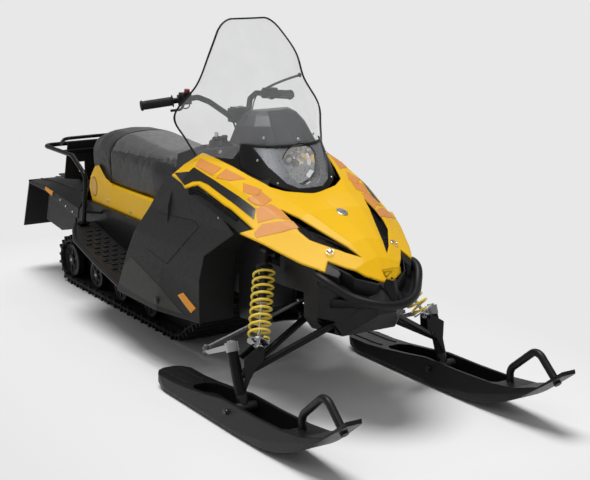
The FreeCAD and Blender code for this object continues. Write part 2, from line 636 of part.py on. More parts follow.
# ---------------------------------------------------------------- tunnel and footboards
def make_tunnel():
    half, t = TUNNEL_HALF, TUNNEL_T
    outside = box(TUNNEL_REAR_X, TUNNEL_FRONT_X, -half, half, TUNNEL_SIDE_Z, TUNNEL_TOP_Z)
    inside = box(TUNNEL_REAR_X - 10, TUNNEL_FRONT_X + 10, -half + t, half - t,
                 TUNNEL_SIDE_Z - 10, TUNNEL_TOP_Z - t)
    tunnel = outside.cut(inside)
    bulkhead = box(TUNNEL_FRONT_X - t, TUNNEL_FRONT_X, -half + t, half - t, RAIL_TOP_Z - 30, TUNNEL_TOP_Z - t)
    foot = COLUMN_FOOT - AXIS * 44
    post = box(foot.x - 18, foot.x + 18, -16, 16, TUNNEL_TOP_Z - 1, foot.z + 4)
    bearing = disc(foot, AXIS, 24, 30)
    tunnel = fuse(tunnel, bulkhead, post, bearing)
    tunnel = tunnel.cut(disc(foot, AXIS, COLUMN_R + RUNNING, 120))
    tunnel = tunnel.cut(rod(SPROCKET - ACROSS * 300, SPROCKET + ACROSS * 300, 15 + RUNNING))
    return tunnel


BOARD_FRONT_Z = 240.0                  # level part, behind the side panel
BOARD_REAR_Z = 362.0
BOARD_BEND_X = -1070.0                 # from here the board rises to its rear end
BOARD_REAR_X = -1660.0
BOARD_T = 4.0


def board_z(x):
    share = max(0.0, (BOARD_BEND_X - x) / (BOARD_BEND_X - BOARD_REAR_X))
    return BOARD_FRONT_Z + share * (BOARD_REAR_Z - BOARD_FRONT_Z)


def make_footboard():
    rear = BOARD_REAR_X - 65
    outline = [(-640, TUNNEL_HALF), (-640, 330), (-700, 362), (BOARD_BEND_X, 382), (-1300, 384),
               (-1560, 374), (BOARD_REAR_X, 335), (rear, 300), (rear, TUNNEL_HALF)]
    top = [(x, board_z(x)) for x in (-600, BOARD_BEND_X, rear - 20)]
    slab = plate_xz(top + [(x, z - BOARD_T) for x, z in reversed(top)], 0, 600)
    board = slab.common(plate_xy(outline, 0, 600))
    edge_points = [Vector(x, y, board_z(x) - 4) for x, y in outline[2:8]]
    edge = bent_tube(edge_points, 8, 60)
    return fuse(board, edge)


# ---------------------------------------------------------------- bodywork
# Upper body surface, by station: x, height on the centre line, then (y, z) of the ridge,
# of the shoulder and of the outer edge.
BODY = [
    (245, 500, (12, 498), (24, 495), (40, 490)),
    (170, 575, (50, 563), (100, 540), (140, 520)),
    (95, 628, (60, 614), (152, 566), (200, 545)),
    (-90, 700, (110, 692), (200, 662), (300, 592)),
    (-195, 723, (130, 724), (220, 702), (333, 624)),
    (-300, 745, (160, 766), (250, 745), (338, 665)),
    (-450, 800, (200, 815), (270, 785), (342, 700)),
    (-600, 830, (250, 844), (300, 800), (346, 735)),
    (-770, 850, (240, 835), (290, 790), (336, 745)),
]
BODY_FLOOR_Z = 380.0


def body_block(drop=0.0):
    """Everything under the upper body surface, lowered by drop."""
    sections = []
    for x, z0, ridge, shoulder, edge in BODY:
        half = [(0.0, z0), ridge, shoulder, edge, (edge[0], BODY_FLOOR_Z)]
        left = [Vector(x, y, z - (drop if z > BODY_FLOOR_Z else 0)) for y, z in half]
        right = [Vector(p.x, -p.y, p.z) for p in reversed(left[1:])]
        sections.append(left + right)
    return loft(sections)


HOOD_OUTLINE = [(242, 8), (227, 30), (196, 70), (146, 115), (95, 152), (122, 182), (43, 228), (-73, 279),
                (-195, 327), (-168, 287), (-335, 309), (-516, 319), (-568, 344), (-704, 328),
                (-607, 246), (-529, 226), (-456, 208), (-370, 184), (-281, 152), (-250, 107), (-237, 54)]
VENT = [(151, 52), (105, 92), (0, 164), (-43, 177), (-166, 178)]


def make_hood():
    shell = body_block().cut(body_block(SHELL_T))
    shell = shell.common(plate_xy(both_sides(HOOD_OUTLINE), 300, 1000))
    for s in (-1, 1):
        shell = shell.cut(plate_xy([(x, y * s) for x, y in VENT], 300, 1000))
    return biggest(shell)


def biggest(shape):
    return sorted(shape.Solids, key=lambda s: s.Volume)[-1]


def arc_wall(rows, thickness):
    """A bowed sheet, solid: each row is z, x of the middle, x and half width of its ends."""
    wires = []
    for z, x_mid, x_end, half in rows:
        outer = Part.Arc(Vector(x_end, -half, z), Vector(x_mid, 0, z), Vector(x_end, half, z)).toShape()
        back = Vector(thickness, 0, 0)
        inner = Part.Arc(Vector(x_end, half, z) - back, Vector(x_mid, 0, z) - back,
                         Vector(x_end, -half, z) - back).toShape()
        ends = [Part.LineSegment(Vector(x_end, half, z), Vector(x_end, half, z) - back).toShape(),
                Part.LineSegment(Vector(x_end, -half, z) - back, Vector(x_end, -half, z)).toShape()]
        wires.append(Part.Wire([outer, ends[0], inner, ends[1]]))
    return Part.makeLoft(wires, True, True)


BEZEL_T = 7.0
BEZEL_ROWS = [(690, -199, -381, 208), (893, -335, -465, 172)]
LENS_OUTLINE = [(-148, 884), (148, 884), (128, 822), (88, 766), (50, 748), (-50, 748), (-88, 766),
                (-128, 822)]                                          # y and z


def make_bezel():
    wall = arc_wall(BEZEL_ROWS, BEZEL_T)
    wall = wall.cut(body_block(-TOUCH))
    return biggest(wall.cut(plate_yz(LENS_OUTLINE, -600, 0)))


def make_lens():
    wall = arc_wall(BEZEL_ROWS, BEZEL_T)
    centre_z = sum(z for y, z in LENS_OUTLINE) / len(LENS_OUTLINE)
    inset = [(y * 0.995, centre_z + (z - centre_z) * 0.985) for y, z in LENS_OUTLINE]
    return wall.common(plate_yz(inset, -600, 0))


HEADLIGHT = Vector(-300, 0, 820)
REFLECTOR_R = 74.0
COWL_BOTTOM_Z = 884.0                  # the cowl stands on the lamp and the bezel at this height


def make_headlight():
    """Lamp body behind the lens: a block that fills the bezel's opening, with a round bowl."""
    block = arc_wall(BEZEL_ROWS, 80).cut(arc_wall(BEZEL_ROWS, BEZEL_T + TOUCH))
    centre_z = sum(z for y, z in LENS_OUTLINE) / len(LENS_OUTLINE)
    wider = [(y * 1.07, centre_z + (z - centre_z) * 1.1) for y, z in LENS_OUTLINE]
    block = block.common(plate_yz(wider, -700, 0))
    block = block.common(box(-700, 0, -300, 300, 700, COWL_BOTTOM_Z - TOUCH))
    way = Vector(1, 0, 0.1).normalize()
    bowl = Part.makeSphere(REFLECTOR_R * 1.25, HEADLIGHT + way * 22)
    bowl = bowl.common(rod(HEADLIGHT - way * 100, HEADLIGHT + way * 200, REFLECTOR_R))
    barrel = rod(HEADLIGHT, HEADLIGHT + way * 200, REFLECTOR_R)
    return biggest(block.cut(bowl).cut(barrel))


COWL_TOP_Z = 1000.0
COWL_REAR_X = -545.0
# Instrument cowl, by height: z, then half its outline from the middle of the front to the rear.
COWL = [(COWL_BOTTOM_Z, [(-352, 0), (-372, 70), (-420, 130), (-480, 164), (COWL_REAR_X, 170)]),
        (950, [(-421, 0), (-430, 58), (-460, 110), (-500, 134), (COWL_REAR_X, 138)]),
        (985, [(-462, 0), (-468, 46), (-488, 86), (-512, 104), (COWL_REAR_X, 108)]),
        (COWL_TOP_Z, [(-486, 0), (-490, 34), (-502, 62), (-520, 78), (COWL_REAR_X, 82)])]


def make_cowl():
    sections = [[Vector(x, y, z) for x, y in both_sides(row)] for z, row in COWL]
    inner = []
    for z, row in COWL:
        level = {COWL_BOTTOM_Z: z - 1, COWL_TOP_Z: z - 6}.get(z, z - 3)
        half = [(x - 6 if x > COWL_REAR_X else x - 20, y * 0.95) for x, y in row]
        inner.append([Vector(x, y, level) for x, y in both_sides(half)])
    return loft(sections).cut(loft(inner))


# Windscreen, by height: z, then half its line from the middle to the side edge.
SCREEN = [(800, [(-272, 0), (-312, 100), (-432, 200), (-575, 262)]),
          (893.5, [(-340, 0), (-373, 90), (-470, 182), (-640, 298)]),
          (980, [(-412, 0), (-440, 95), (-530, 205), (-688, 319)]),
          (1090, [(-505, 0), (-522, 80), (-575, 165), (-665, 236)]),
          (1200, [(-592, 0), (-600, 65), (-622, 130), (-656, 188)]),
          (1330, [(-690, 0), (-691, 35), (-694, 72), (-700, 105)])]
SCREEN_T = 5.0
SCREEN_LOW_Z = 893.5                   # lower edge in the middle, on the bezel
SCREEN_EAR_Y = 176.0                   # outside this the screen reaches down to the hood


def make_windscreen():
    back = Vector(SCREEN_T, 0, 0)
    wires = []
    for z, line in SCREEN:
        front = [Vector(x, -y, z) for x, y in reversed(line[1:])] + [Vector(x, y, z) for x, y in line]
        behind = [p - back for p in reversed(front)]
        curves = []
        for row in (front, behind):
            curve = Part.BSplineCurve()
            curve.interpolate(row)
            curves.append(curve.toShape())
        ends = [Part.LineSegment(front[-1], behind[0]).toShape(),
                Part.LineSegment(behind[-1], front[0]).toShape()]
        wires.append(Part.Wire([curves[0], ends[0], curves[1], ends[1]]))
    screen = Part.makeLoft(wires, True, False)
    screen = screen.cut(box(-700, 0, -SCREEN_EAR_Y, SCREEN_EAR_Y, 780, SCREEN_LOW_Z))
    bezel_room = arc_wall(BEZEL_ROWS, BEZEL_T + 2 * TOUCH)
    bezel_room.translate(Vector(TOUCH, 0, 0))
    return biggest(screen.cut(body_block(-TOUCH)).cut(bezel_room))


# Side panel, by height: z, then x and y of its front edge, of its middle and of its rear edge.
SIDE_PANEL = [(790, (-560, 318), (-640, 320), (-720, 318)),
              (610, (-250, 322), (-550, 334), (-860, 346)),
              (500, (-425, 346), (-700, 362), (-950, 373)),
              (400, (-452, 354), (-720, 373), (-1003, 385)),
              (232, (-470, 345), (-720, 401), (-1068, 404))]


def make_front_wall():
    """Closes the space between the side panel's front edge and the belly pan, behind the shock."""
    inner_y = max(row[3] for row in BELLY) + 3
    sections = []
    for z, (x, y), mid, rear in SIDE_PANEL[1:]:
        front, back = x - 1, x - 1 - SHELL_T
        outer_y = y - SHELL_T / 2
        sections.append([Vector(front, inner_y, z), Vector(front, outer_y, z),
                         Vector(back, outer_y, z), Vector(back, inner_y, z)])
    return loft(sections)


def make_side_panel():
    sections = []
    for z, front, mid, rear in SIDE_PANEL:
        outer = [Vector(x, y, z) for x, y in (front, mid, rear)]
        sections.append(outer + [Vector(p.x, p.y - SHELL_T, p.z) for p in reversed(outer)])
    hood_skin = body_block(-TOUCH).cut(body_block(SHELL_T + TOUCH))
    panel = loft(sections).cut(hood_skin)
    lowest = sorted(panel.Solids, key=lambda piece: piece.BoundBox.ZMin)[0]
    return fuse(lowest, make_front_wall().cut(hood_skin))


def above_body():
    """All space taken by the hood's skin and above it, for trimming what meets it from below."""
    plan = [(BODY[0][0], 0)] + [(row[0], row[-1][0] + 60) for row in BODY]
    return plate_xy(both_sides(plan), BODY_FLOOR_Z + 40, 1000).cut(body_block(SHELL_T + TOUCH))


BELLY_NOSE_X = 232.0
# Belly pan: x, half width and height of the floor, half width and height of the wall's top.
BELLY_FLOOR = RAIL_TOP_Z - RAIL_H - SHELL_T - TOUCH
BELLY = [(-430, 196, 244, 200, 560), (-300, 186, 252, 196, 700), (-120, 166, BELLY_FLOOR, 190, 700),
         (60, 128, BELLY_FLOOR, 168, 700), (124, 110, BELLY_FLOOR, 142, 700),
         (185, 74, 350, 106, 700), (BELLY_NOSE_X, 36, 392, 44, 700)]
BELLY_BEND = 44.0                      # the wall turns upright this far above the floor


def belly_block(wall):
    """The belly pan's outside, moved inwards by wall; it runs past both open sides."""
    sections = []
    for x, low_half, low_z, high_half, high_z in BELLY:
        station = {BELLY_NOSE_X: x - wall, BELLY[0][0]: x - 1 if wall else x}.get(x, x)
        top = high_z + (2 if wall else 0)
        a, b = low_half - wall, high_half - wall
        half = [(b, top), (b, low_z + BELLY_BEND), (a, low_z + wall)]
        left = [Vector(station, y, z) for y, z in half]
        sections.append(left[::-1] + [Vector(p.x, -p.y, p.z) for p in left])
    return loft(sections)


def make_belly():
    tub = belly_block(0).cut(belly_block(SHELL_T))
    for s in (-1, 1):
        y0, y1 = sorted((s * (RAIL_Y + RAIL_W / 2 - 8), s * 240))
        front_notch = box(ARM_FRONT.x - 34, ARM_FRONT.x + 34, y0, y1, BELLY_FLOOR + 5, ARM_FRONT.z + 20)
        rear_notch = box(ARM_REAR.x - 34, ARM_REAR.x + 34, y0, y1, BELLY_FLOOR - 5, ARM_REAR.z + 20)
        y0, y1 = sorted((s * (RAIL_Y + RAIL_W / 2 + 29), s * 240))
        rod_window = box(-225, -16, y0, y1, 230, 434)
        tower_window = box(-245, -150, y0, y1, 500, 720)
        tub = tub.cut(front_notch).cut(rear_notch).cut(rod_window).cut(tower_window)
    return biggest(tub.cut(above_body()))


# Nose guard: plan of its bar, then of the side posts and of the prow, forward to rear.
BUMPER_LIP = [(296, 0, 437), (286, 46, 440), (252, 100, 450), (196, 152, 474), (146, 188, 506),
              (96, 200, 520)]
LIP_R = 15.0
POST_PLAN = [(60, 170), (130, 206), (172, 186), (150, 136), (60, 136)]
# Plan of the middle prow at its foot and at its head, x and half width.
PROW_LOW = [(290, 0), (276, 16), (236, 24), (200, 30)]
PROW_HIGH = [(242, 0), (228, 30), (196, 62), (170, 70)]
PROW_Z = (444, 545)
CHIN = [(282, 0), (270, 50), (238, 98), (184, 146), (140, 176)]    # upper edge of the chin, in plan


def make_bumper():
    """Moulded nose guard: a bowed lip, a chin behind it, a middle prow and two side posts."""
    half = [Vector(*p) for p in BUMPER_LIP]
    line = [Vector(p.x, -p.y, p.z) for p in reversed(half[1:])] + half
    curve = Part.BSplineCurve()
    curve.interpolate(line)
    start_way = curve.tangent(curve.FirstParameter)[0]
    circle = Part.Wire(Part.makeCircle(LIP_R, line[0], start_way))
    lip = Part.Wire(curve.toShape()).makePipeShell([circle], True, False)
    chin_low = both_sides([(x * 0.86 - 14, y * 0.86) for x, y in CHIN])
    chin = loft([[Vector(x, y, 404) for x, y in chin_low],
                 [Vector(x, y, 446) for x, y in both_sides(CHIN)]])
    prow = loft([[Vector(x, y, PROW_Z[0]) for x, y in both_sides(PROW_LOW)],
                 [Vector(x, y, PROW_Z[1]) for x, y in both_sides(PROW_HIGH)]])
    pieces = [chin, prow]
    for s in (-1, 1):
        pieces.append(plate_xy([(x, y * s) for x, y in POST_PLAN], 480, 640))
    guard = fuse(*pieces).cut(above_body())
    guard = fuse(guard, lip).cut(belly_block(-TOUCH))
    return biggest(guard)


# ---------------------------------------------------------------- seat and rear body
def make_console():
    """Centre cover between the seat and the dash; the steering column passes through it."""
    low = TUNNEL_TOP_Z
    rows = [(-640, 190, low, 150, 800), (-800, 190, low, 140, 840), (-1040, 186, low, 130, 770)]
    sections = []
    for x, low_half, low_z, top_half, top_z in rows:
        sections.append([Vector(x, low_half, low_z), Vector(x, top_half, top_z),
                         Vector(x, -top_half, top_z), Vector(x, -low_half, low_z)])
    inner = [[Vector(p.x + (12 if i == 0 else (-12 if i == 2 else 0)), p.y * 0.96,
                     p.z - SHELL_T if p.z > 600 else p.z - 10) for p in s] for i, s in enumerate(sections)]
    cover = loft(sections).cut(loft(inner))
    return cover.cut(rod(COLUMN_FOOT, COLUMN_TOP, 34))


# The base's rear corners sweep up behind the seat's sides: x and z, seen from the side.
BASE_FIN = [(-1560, BASE_TOP_Z - 20), (-1560, BASE_TOP_Z + 4), (-1637, 583), (-1708, 630), (-1742, 622),
            (-1796, 566), (-1800, BASE_TOP_Z - 20)]
FIN_T = 4.0


def make_seat_base():
    outline = [(BASE_FRONT_X, BASE_TOP_Z), (BASE_FRONT_X, TUNNEL_TOP_Z), (-1786, TUNNEL_TOP_Z),
               (-1812, 520), (-1796, BASE_TOP_Z)]
    outside = plate_xz(outline, -SEAT_HALF, SEAT_HALF)
    inside = box(-1780, BASE_FRONT_X - 10, -SEAT_HALF + 4, SEAT_HALF - 4, TUNNEL_TOP_Z - 5, BASE_TOP_Z - 24)
    fins = [plate_xz(BASE_FIN, SEAT_HALF - FIN_T, SEAT_HALF),
            plate_xz(BASE_FIN, -SEAT_HALF, -SEAT_HALF + FIN_T)]
    return fuse(outside.cut(inside), *fins)


SEAT_ROOM = SEAT_HALF - FIN_T - 1      # the cushion's half width, inside the fins
# Cushion, by station: x, half width, height of the underside, height of the crown.
SEAT = [(-1056, 150, 0, 742), (-1180, SEAT_ROOM - 4, 0, 764), (-1366, SEAT_ROOM, 0, 776),
        (-1560, SEAT_ROOM, 0, 791), (-1740, SEAT_ROOM - 3, 0, 786), (-1850, 158, 40, 758),
        (-1915, 110, 80, 712)]


def make_seat():
    """The cushion as one closed solid with a crowned top."""
    sections = []
    for x, half, lift, crown in SEAT:
        low = BASE_TOP_Z + TOUCH + lift
        height = crown - low
        left = [Vector(x, half, low), Vector(x, half, low + height * 0.6),
                Vector(x, half * 0.86, low + height * 0.86), Vector(x, half * 0.5, crown - 7)]
        right = [Vector(p.x, -p.y, p.z) for p in reversed(left)]
        sections.append(left + [Vector(x, 0, crown)] + right)
    return loft(sections)


# Tail cover, by station: x, then (y, z) of its lower edge, of its side crease and of its top edge.
TAIL_EDGE = TUNNEL_HALF + 42           # half width of the tail cover's lower edge
TAIL = [(TUNNEL_REAR_X + 375, (TAIL_EDGE, 375), (TAIL_EDGE - 6, 420), (165, 540)),
        (TUNNEL_REAR_X - 10, (TAIL_EDGE, 440), (TAIL_EDGE - 6, 462), (160, 494)),
        (TUNNEL_REAR_X - 215, (TAIL_EDGE + 2, 446), (TAIL_EDGE, 456), (190, 462))]
COVER_T = 5.0


def tail_block(shrink=0.0, grow=0.0):
    sections = []
    for i, (x, low, crease, top) in enumerate(TAIL):
        overrun = (shrink, 0, -shrink)[i]
        left = [Vector(x + overrun, low[0] - shrink + grow, low[1] - 2 * shrink),
                Vector(x + overrun, crease[0] - shrink + grow, crease[1] - shrink),
                Vector(x + overrun, top[0] - shrink + grow, top[1] - shrink)]
        sections.append(left + [Vector(p.x, -p.y, p.z) for p in reversed(left)])
    return loft(sections)


def make_tail_cover():
    shell = tail_block().cut(tail_block(COVER_T))
    ribs = []
    for x in (TUNNEL_REAR_X + 340, TUNNEL_REAR_X + 10):
        rib = box(x, x + COVER_T, -TAIL_EDGE, TAIL_EDGE, TUNNEL_TOP_Z + TOUCH, 600)
        ribs.append(rib.common(tail_block()))
    return fuse(shell, *ribs)


def make_skirts():
    rear = TUNNEL_REAR_X
    outline = [(rear + 260, 300), (rear + 90, 262), (rear - 100, 282), (rear - 50, 430), (rear + 260, 376)]
    left = plate_xz(outline, TUNNEL_HALF + TOUCH, TUNNEL_HALF + TOUCH + 4)
    return left, mirrored(left)


def make_flap():
    rim = TAIL[-1][0] - TOUCH
    outline = [(rim, 461), (rim, 440), (rim - 97, 215), (rim - 103, 217), (rim - 6, 446), (rim - 6, 461)]
    flap = plate_xz(outline, -250, 250)
    return flap.cut(box(rim - 200, rim + 10, -46, 46, 404, 500))


RACK_FOOT = Vector(BOARD_REAR_X - 40, TUNNEL_HALF + 62, 0)
PLATE_X = TUNNEL_REAR_X + 206          # rear face of the rack's back plate
PLATE_T = 4.0
HOOP_Z = 706.0


def make_rack():
    """A tube frame over the tail cover: its legs stand on the footboards' rear ends."""
    foot_z = board_z(RACK_FOOT.x) + 6
    corners = [Vector(TUNNEL_REAR_X, 0, RACK_Z), Vector(TUNNEL_REAR_X, RACK_HALF, RACK_Z),
               Vector(RACK_FOOT.x - 150, RACK_HALF, RACK_Z), Vector(RACK_FOOT.x + 10, RACK_HALF + 6, 590),
               Vector(RACK_FOOT.x, RACK_FOOT.y, foot_z - 4)]
    side = bent_tube(corners, RACK_R, 45)
    stay = rod(Vector(RACK_FOOT.x + 2, RACK_FOOT.y - 4, 430), Vector(RACK_FOOT.x + 60, TUNNEL_HALF, 430), 7)
    around = (RACK_FOOT.x - 100, RACK_FOOT.x + 100)
    left = fuse(side, stay).cut(box(*around, 0, 400, 0, foot_z))
    left = left.cut(box(*around, 0, TUNNEL_HALF + TOUCH, 300, 500))
    pad = box(RACK_FOOT.x - 22, RACK_FOOT.x + 22, RACK_FOOT.y - 22, RACK_FOOT.y + 22, foot_z, foot_z + 6)
    left = left.fuse(pad)
    hoop_half = [Vector(TUNNEL_REAR_X + 5, 170, RACK_Z), Vector(TUNNEL_REAR_X + 100, 185, HOOP_Z - 6),
                 Vector(TUNNEL_REAR_X + 130, 60, HOOP_Z)]
    hoop = bent_tube([Vector(p.x, -p.y, p.z) for p in hoop_half] + hoop_half[::-1], 8, 30)
    cross = rod(Vector(PLATE_X + 12, -RACK_HALF, RACK_Z), Vector(PLATE_X + 12, RACK_HALF, RACK_Z), 8)
    return fuse(left, mirrored(left), hoop, cross)


def make_rack_plate():
    share = (PLATE_X + PLATE_T - TAIL[0][0]) / (TAIL[1][0] - TAIL[0][0])
    low = TAIL[0][3][1] + share * (TAIL[1][3][1] - TAIL[0][3][1]) + TOUCH
    outline = [(-163, low), (163, low), (238, low + 12), (216, 700), (-216, 700), (-238, low + 12)]
    plate = plate_yz(outline, PLATE_X, PLATE_X + PLATE_T)
    for y in (-150, -50, 50, 150):
        plate = plate.cut(box(PLATE_X - 10, PLATE_X + 10, y - 14, y + 14, 558, 604))
    return plate


def make_tail_light():
    return box(PLATE_X - 30, PLATE_X - TOUCH, -200, 200, 640, 690)      # a bar behind the plate's head


HITCH_PIN = Vector(TUNNEL_REAR_X - 320, 0, 0)
HITCH_PIN_R = 9.0


def make_hitch():
    top = TUNNEL_TOP_Z - TUNNEL_T
    end = HITCH_PIN.x - 30
    hitch = fuse(box(end, TUNNEL_REAR_X + 90, -40, 40, top - 8, top),
                 box(end, end + 110, -40, 40, top - 40, top - 32),
                 box(end + 90, end + 110, -40, 40, top - 40, top))
    return hitch.cut(rod(HITCH_PIN, HITCH_PIN + Vector(0, 0, 600), HITCH_PIN_R))


REFLECTOR_T = 3.0
# Outlines seen from the side, x and z; the tail's x is counted from the tunnel's rear end.
SIDE_REFLECTOR = [(-592, 318), (-560, 334), (-482, 290), (-512, 266)]
TAIL_REFLECTOR = [(-10, 446), (80, 430), (80, 450), (-10, 460)]


def moved(shape, y):
    shape = shape.copy()
    shape.translate(Vector(0, y, 0))
    return shape


def make_reflectors():
    """Amber reflectors: thin patches that follow the panel under them."""
    panel = make_side_panel()
    skin = moved(panel, REFLECTOR_T + TOUCH).cut(moved(panel, TOUCH))
    side = skin.common(plate_xz(SIDE_REFLECTOR, 300, 500))
    cover_skin = tail_block(0, REFLECTOR_T + TOUCH).cut(tail_block(0, TOUCH))
    tail_outline = [(TUNNEL_REAR_X + x, z) for x, z in TAIL_REFLECTOR]
    tail = cover_skin.common(plate_xz(tail_outline, 200, 300))
    side, tail = biggest(side), biggest(tail)
    return side, mirrored(side), tail, mirrored(tail)


def make_engine():
    return box(-520, -245, -168, 110, RAIL_TOP_Z, 512)


# ---------------------------------------------------------------- write every node
os.makedirs("parts", exist_ok=True)

save_pair("ski", make_ski())
save_pair("spindle", make_spindle())
right_outer = Vector(TIE_OUTER.x, -TIE_OUTER.y, TIE_OUTER.z)
save("tie_rod_left", make_tie_rod(TIE_OUTER, RELAY_END + AXIS * HIGH_ROD))
save("tie_rod_right", make_tie_rod(right_outer, RELAY_END + AXIS * RELAY_LIFT))
save("steering_relay", make_relay())
save("steering_column", make_column())
link_rear = COLUMN_FOOT + ACROSS * LINK_ARM - AXIS * ROD_LIFT
link_front = LINK_TOP + ACROSS * LINK_ARM + AXIS * ROD_LIFT
save("drag_link", make_tie_rod(link_rear, link_front))
save("handlebar", make_handlebar())
save("handlebar_grips", *make_grips())
save("handlebar_clamp", make_bar_clamp())
save("brake_lever", make_brake())
save("throttle_lever", make_throttle())

save_pair("a_arm", make_a_arm())
save_pair("shock", make_shock())
save_pair("spring", make_spring())
save("front_frame", make_front_frame())
save("engine_block", make_engine())

save("track", make_track())
save("slide_rails", make_slide_rails())
save("rear_idlers", make_idlers())
save("bogie_wheels", *make_bogies())
save("drive_axle", make_drive())
save("suspension_arms", make_carriage_arms())
save("tunnel", make_tunnel())
save_pair("footboard", make_footboard())

save("hood", make_hood())
save("headlight_bezel", make_bezel())
save("headlight_lens", make_lens())
save("headlight", make_headlight())
save("cowl", make_cowl())
save("windscreen", make_windscreen())
save_pair("side_panel", make_side_panel())
save("belly_pan", make_belly())
save("front_bumper", make_bumper())
save("console", make_console())
save("seat_base", make_seat_base())
save("seat", make_seat())
save("tail_cover", make_tail_cover())
save("side_skirts", *make_skirts())
save("snow_flap", make_flap())
save("rack", make_rack())
save("rack_plate", make_rack_plate())
save("tail_light", make_tail_light())
save("tow_hitch", make_hitch())
save("reflectors", *make_reflectors())
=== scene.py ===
import json
from math import atan2, copysign, cos, pi, radians, sin, sqrt

import bmesh
import bpy
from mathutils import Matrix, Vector
from mathutils.bvhtree import BVHTree


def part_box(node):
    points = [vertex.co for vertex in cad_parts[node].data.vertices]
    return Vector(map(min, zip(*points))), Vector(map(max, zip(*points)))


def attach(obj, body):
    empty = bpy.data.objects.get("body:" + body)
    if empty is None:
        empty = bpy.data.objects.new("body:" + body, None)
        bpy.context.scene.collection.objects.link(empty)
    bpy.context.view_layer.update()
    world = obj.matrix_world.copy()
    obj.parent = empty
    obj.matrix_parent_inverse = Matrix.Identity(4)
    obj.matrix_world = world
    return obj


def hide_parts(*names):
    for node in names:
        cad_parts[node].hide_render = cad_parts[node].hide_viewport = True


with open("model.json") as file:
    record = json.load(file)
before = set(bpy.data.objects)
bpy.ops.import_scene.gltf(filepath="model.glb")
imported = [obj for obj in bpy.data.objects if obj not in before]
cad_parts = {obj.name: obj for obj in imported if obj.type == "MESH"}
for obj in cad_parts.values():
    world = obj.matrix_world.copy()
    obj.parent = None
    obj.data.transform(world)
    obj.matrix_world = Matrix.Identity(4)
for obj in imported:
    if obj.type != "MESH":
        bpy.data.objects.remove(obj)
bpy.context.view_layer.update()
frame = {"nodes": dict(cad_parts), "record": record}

NODES = frame["nodes"]
OX = 0.935  # the ski bolts' X in this frame; the stations below are measured from there
SMOOTH_BELOW = 24  # degrees: faces of a CAD node that meet at less than this look like one surface
PIECE_SHARP = 40  # the same for the pieces made here, and for those laid on a surface
PATCH_SHARP = 35
UP, DOWN = Vector((0, 0, 1)), Vector((0, 0, -1))

# ---- material helpers


class Shader:
    """A node material with one Principled shader, and short calls for the nodes that feed it."""

    def __init__(self, name):
        self.mat = bpy.data.materials.new(name)
        self.mat.use_nodes = True
        self.tree = self.mat.node_tree
        self.bsdf = self.tree.nodes["Principled BSDF"]
        self.coords = self.tree.nodes.new("ShaderNodeTexCoord").outputs["Object"]

    def node(self, kind, inputs=(), **settings):
        made = self.tree.nodes.new(kind)
        for key, value in settings.items():
            setattr(made, key, value)
        for socket, value in dict(inputs).items():
            self.put(made.inputs[socket], value)
        return made

    def put(self, socket, value):
        if isinstance(value, bpy.types.NodeSocket):
            self.tree.links.new(value, socket)
        else:
            socket.default_value = value

    def set(self, **values):
        for key, value in values.items():
            self.put(self.bsdf.inputs[key.replace("_", " ")], value)
        return self

    def noise(self, scale, detail=2.0, rough=0.5):
        made = self.node("ShaderNodeTexNoise", {"Vector": self.coords, "Scale": scale,
                                                "Detail": detail, "Roughness": rough})
        return made.outputs["Fac"]

    def cells(self, scale, where=None):
        made = self.node("ShaderNodeTexVoronoi", {"Vector": where or self.coords, "Scale": scale})
        return made.outputs["Distance"]

    def remap(self, value, out_low, out_high, low=0.3, high=0.7):
        """The value spread over a new range; a noise runs from about 0.3 to 0.7."""
        made = self.node("ShaderNodeMapRange", {"Value": value, "From Min": low, "From Max": high,
                                                "To Min": out_low, "To Max": out_high})
        return made.outputs["Result"]

    def math(self, operation, a, b=0.0):
        made = self.node("ShaderNodeMath", {0: a, 1: b}, operation=operation)
        return made.outputs["Value"]

    def mix(self, factor, a, b):
        made = self.node("ShaderNodeMix", {"Factor": factor}, data_type="RGBA")
        self.put(made.inputs[6], rgba(a))
        self.put(made.inputs[7], rgba(b))
        return made.outputs[2]

    def bump(self, height, strength=0.3, distance=0.001, edge=0.0):
        """A bump over the surface, whose edges look rounded to the radius edge."""
        made = self.node("ShaderNodeBump", {"Height": height, "Strength": strength, "Distance": distance})
        if edge:
            soft = self.node("ShaderNodeBevel", {"Radius": edge}, samples=6)
            self.put(made.inputs["Normal"], soft.outputs["Normal"])
        return made.outputs["Normal"]

    def axis(self, which):
        split = self.node("ShaderNodeSeparateXYZ", {"Vector": self.coords})
        return split.outputs[which]


def rgba(value):
    if isinstance(value, bpy.types.NodeSocket) or len(value) == 4:
        return value
    return tuple(value) + (1.0,)


def shade(colour, factor):
    return tuple(min(1.0, c * factor) for c in colour)


def plastic(name, colour, rough, edge=0.004, coat=0.0, grain=900.0, depth=0.25, patch=0.12):
    """Moulded plastic: soft tone patches, a fine grain, and roughness that wanders a little."""
    s = Shader(name)
    tone = s.mix(s.noise(7.0, 4.0), shade(colour, 1 - patch), shade(colour, 1 + patch))
    fine = s.cells(grain)
    scuff = s.remap(s.noise(60.0, 5.0, 0.7), rough - 0.06, rough + 0.08, 0.3, 0.75)
    return s.set(Base_Color=tone, Roughness=scuff, Coat_Weight=coat, Coat_Roughness=0.08,
                 Specular_IOR_Level=0.25, Normal=s.bump(fine, depth, 0.0006, edge)).mat


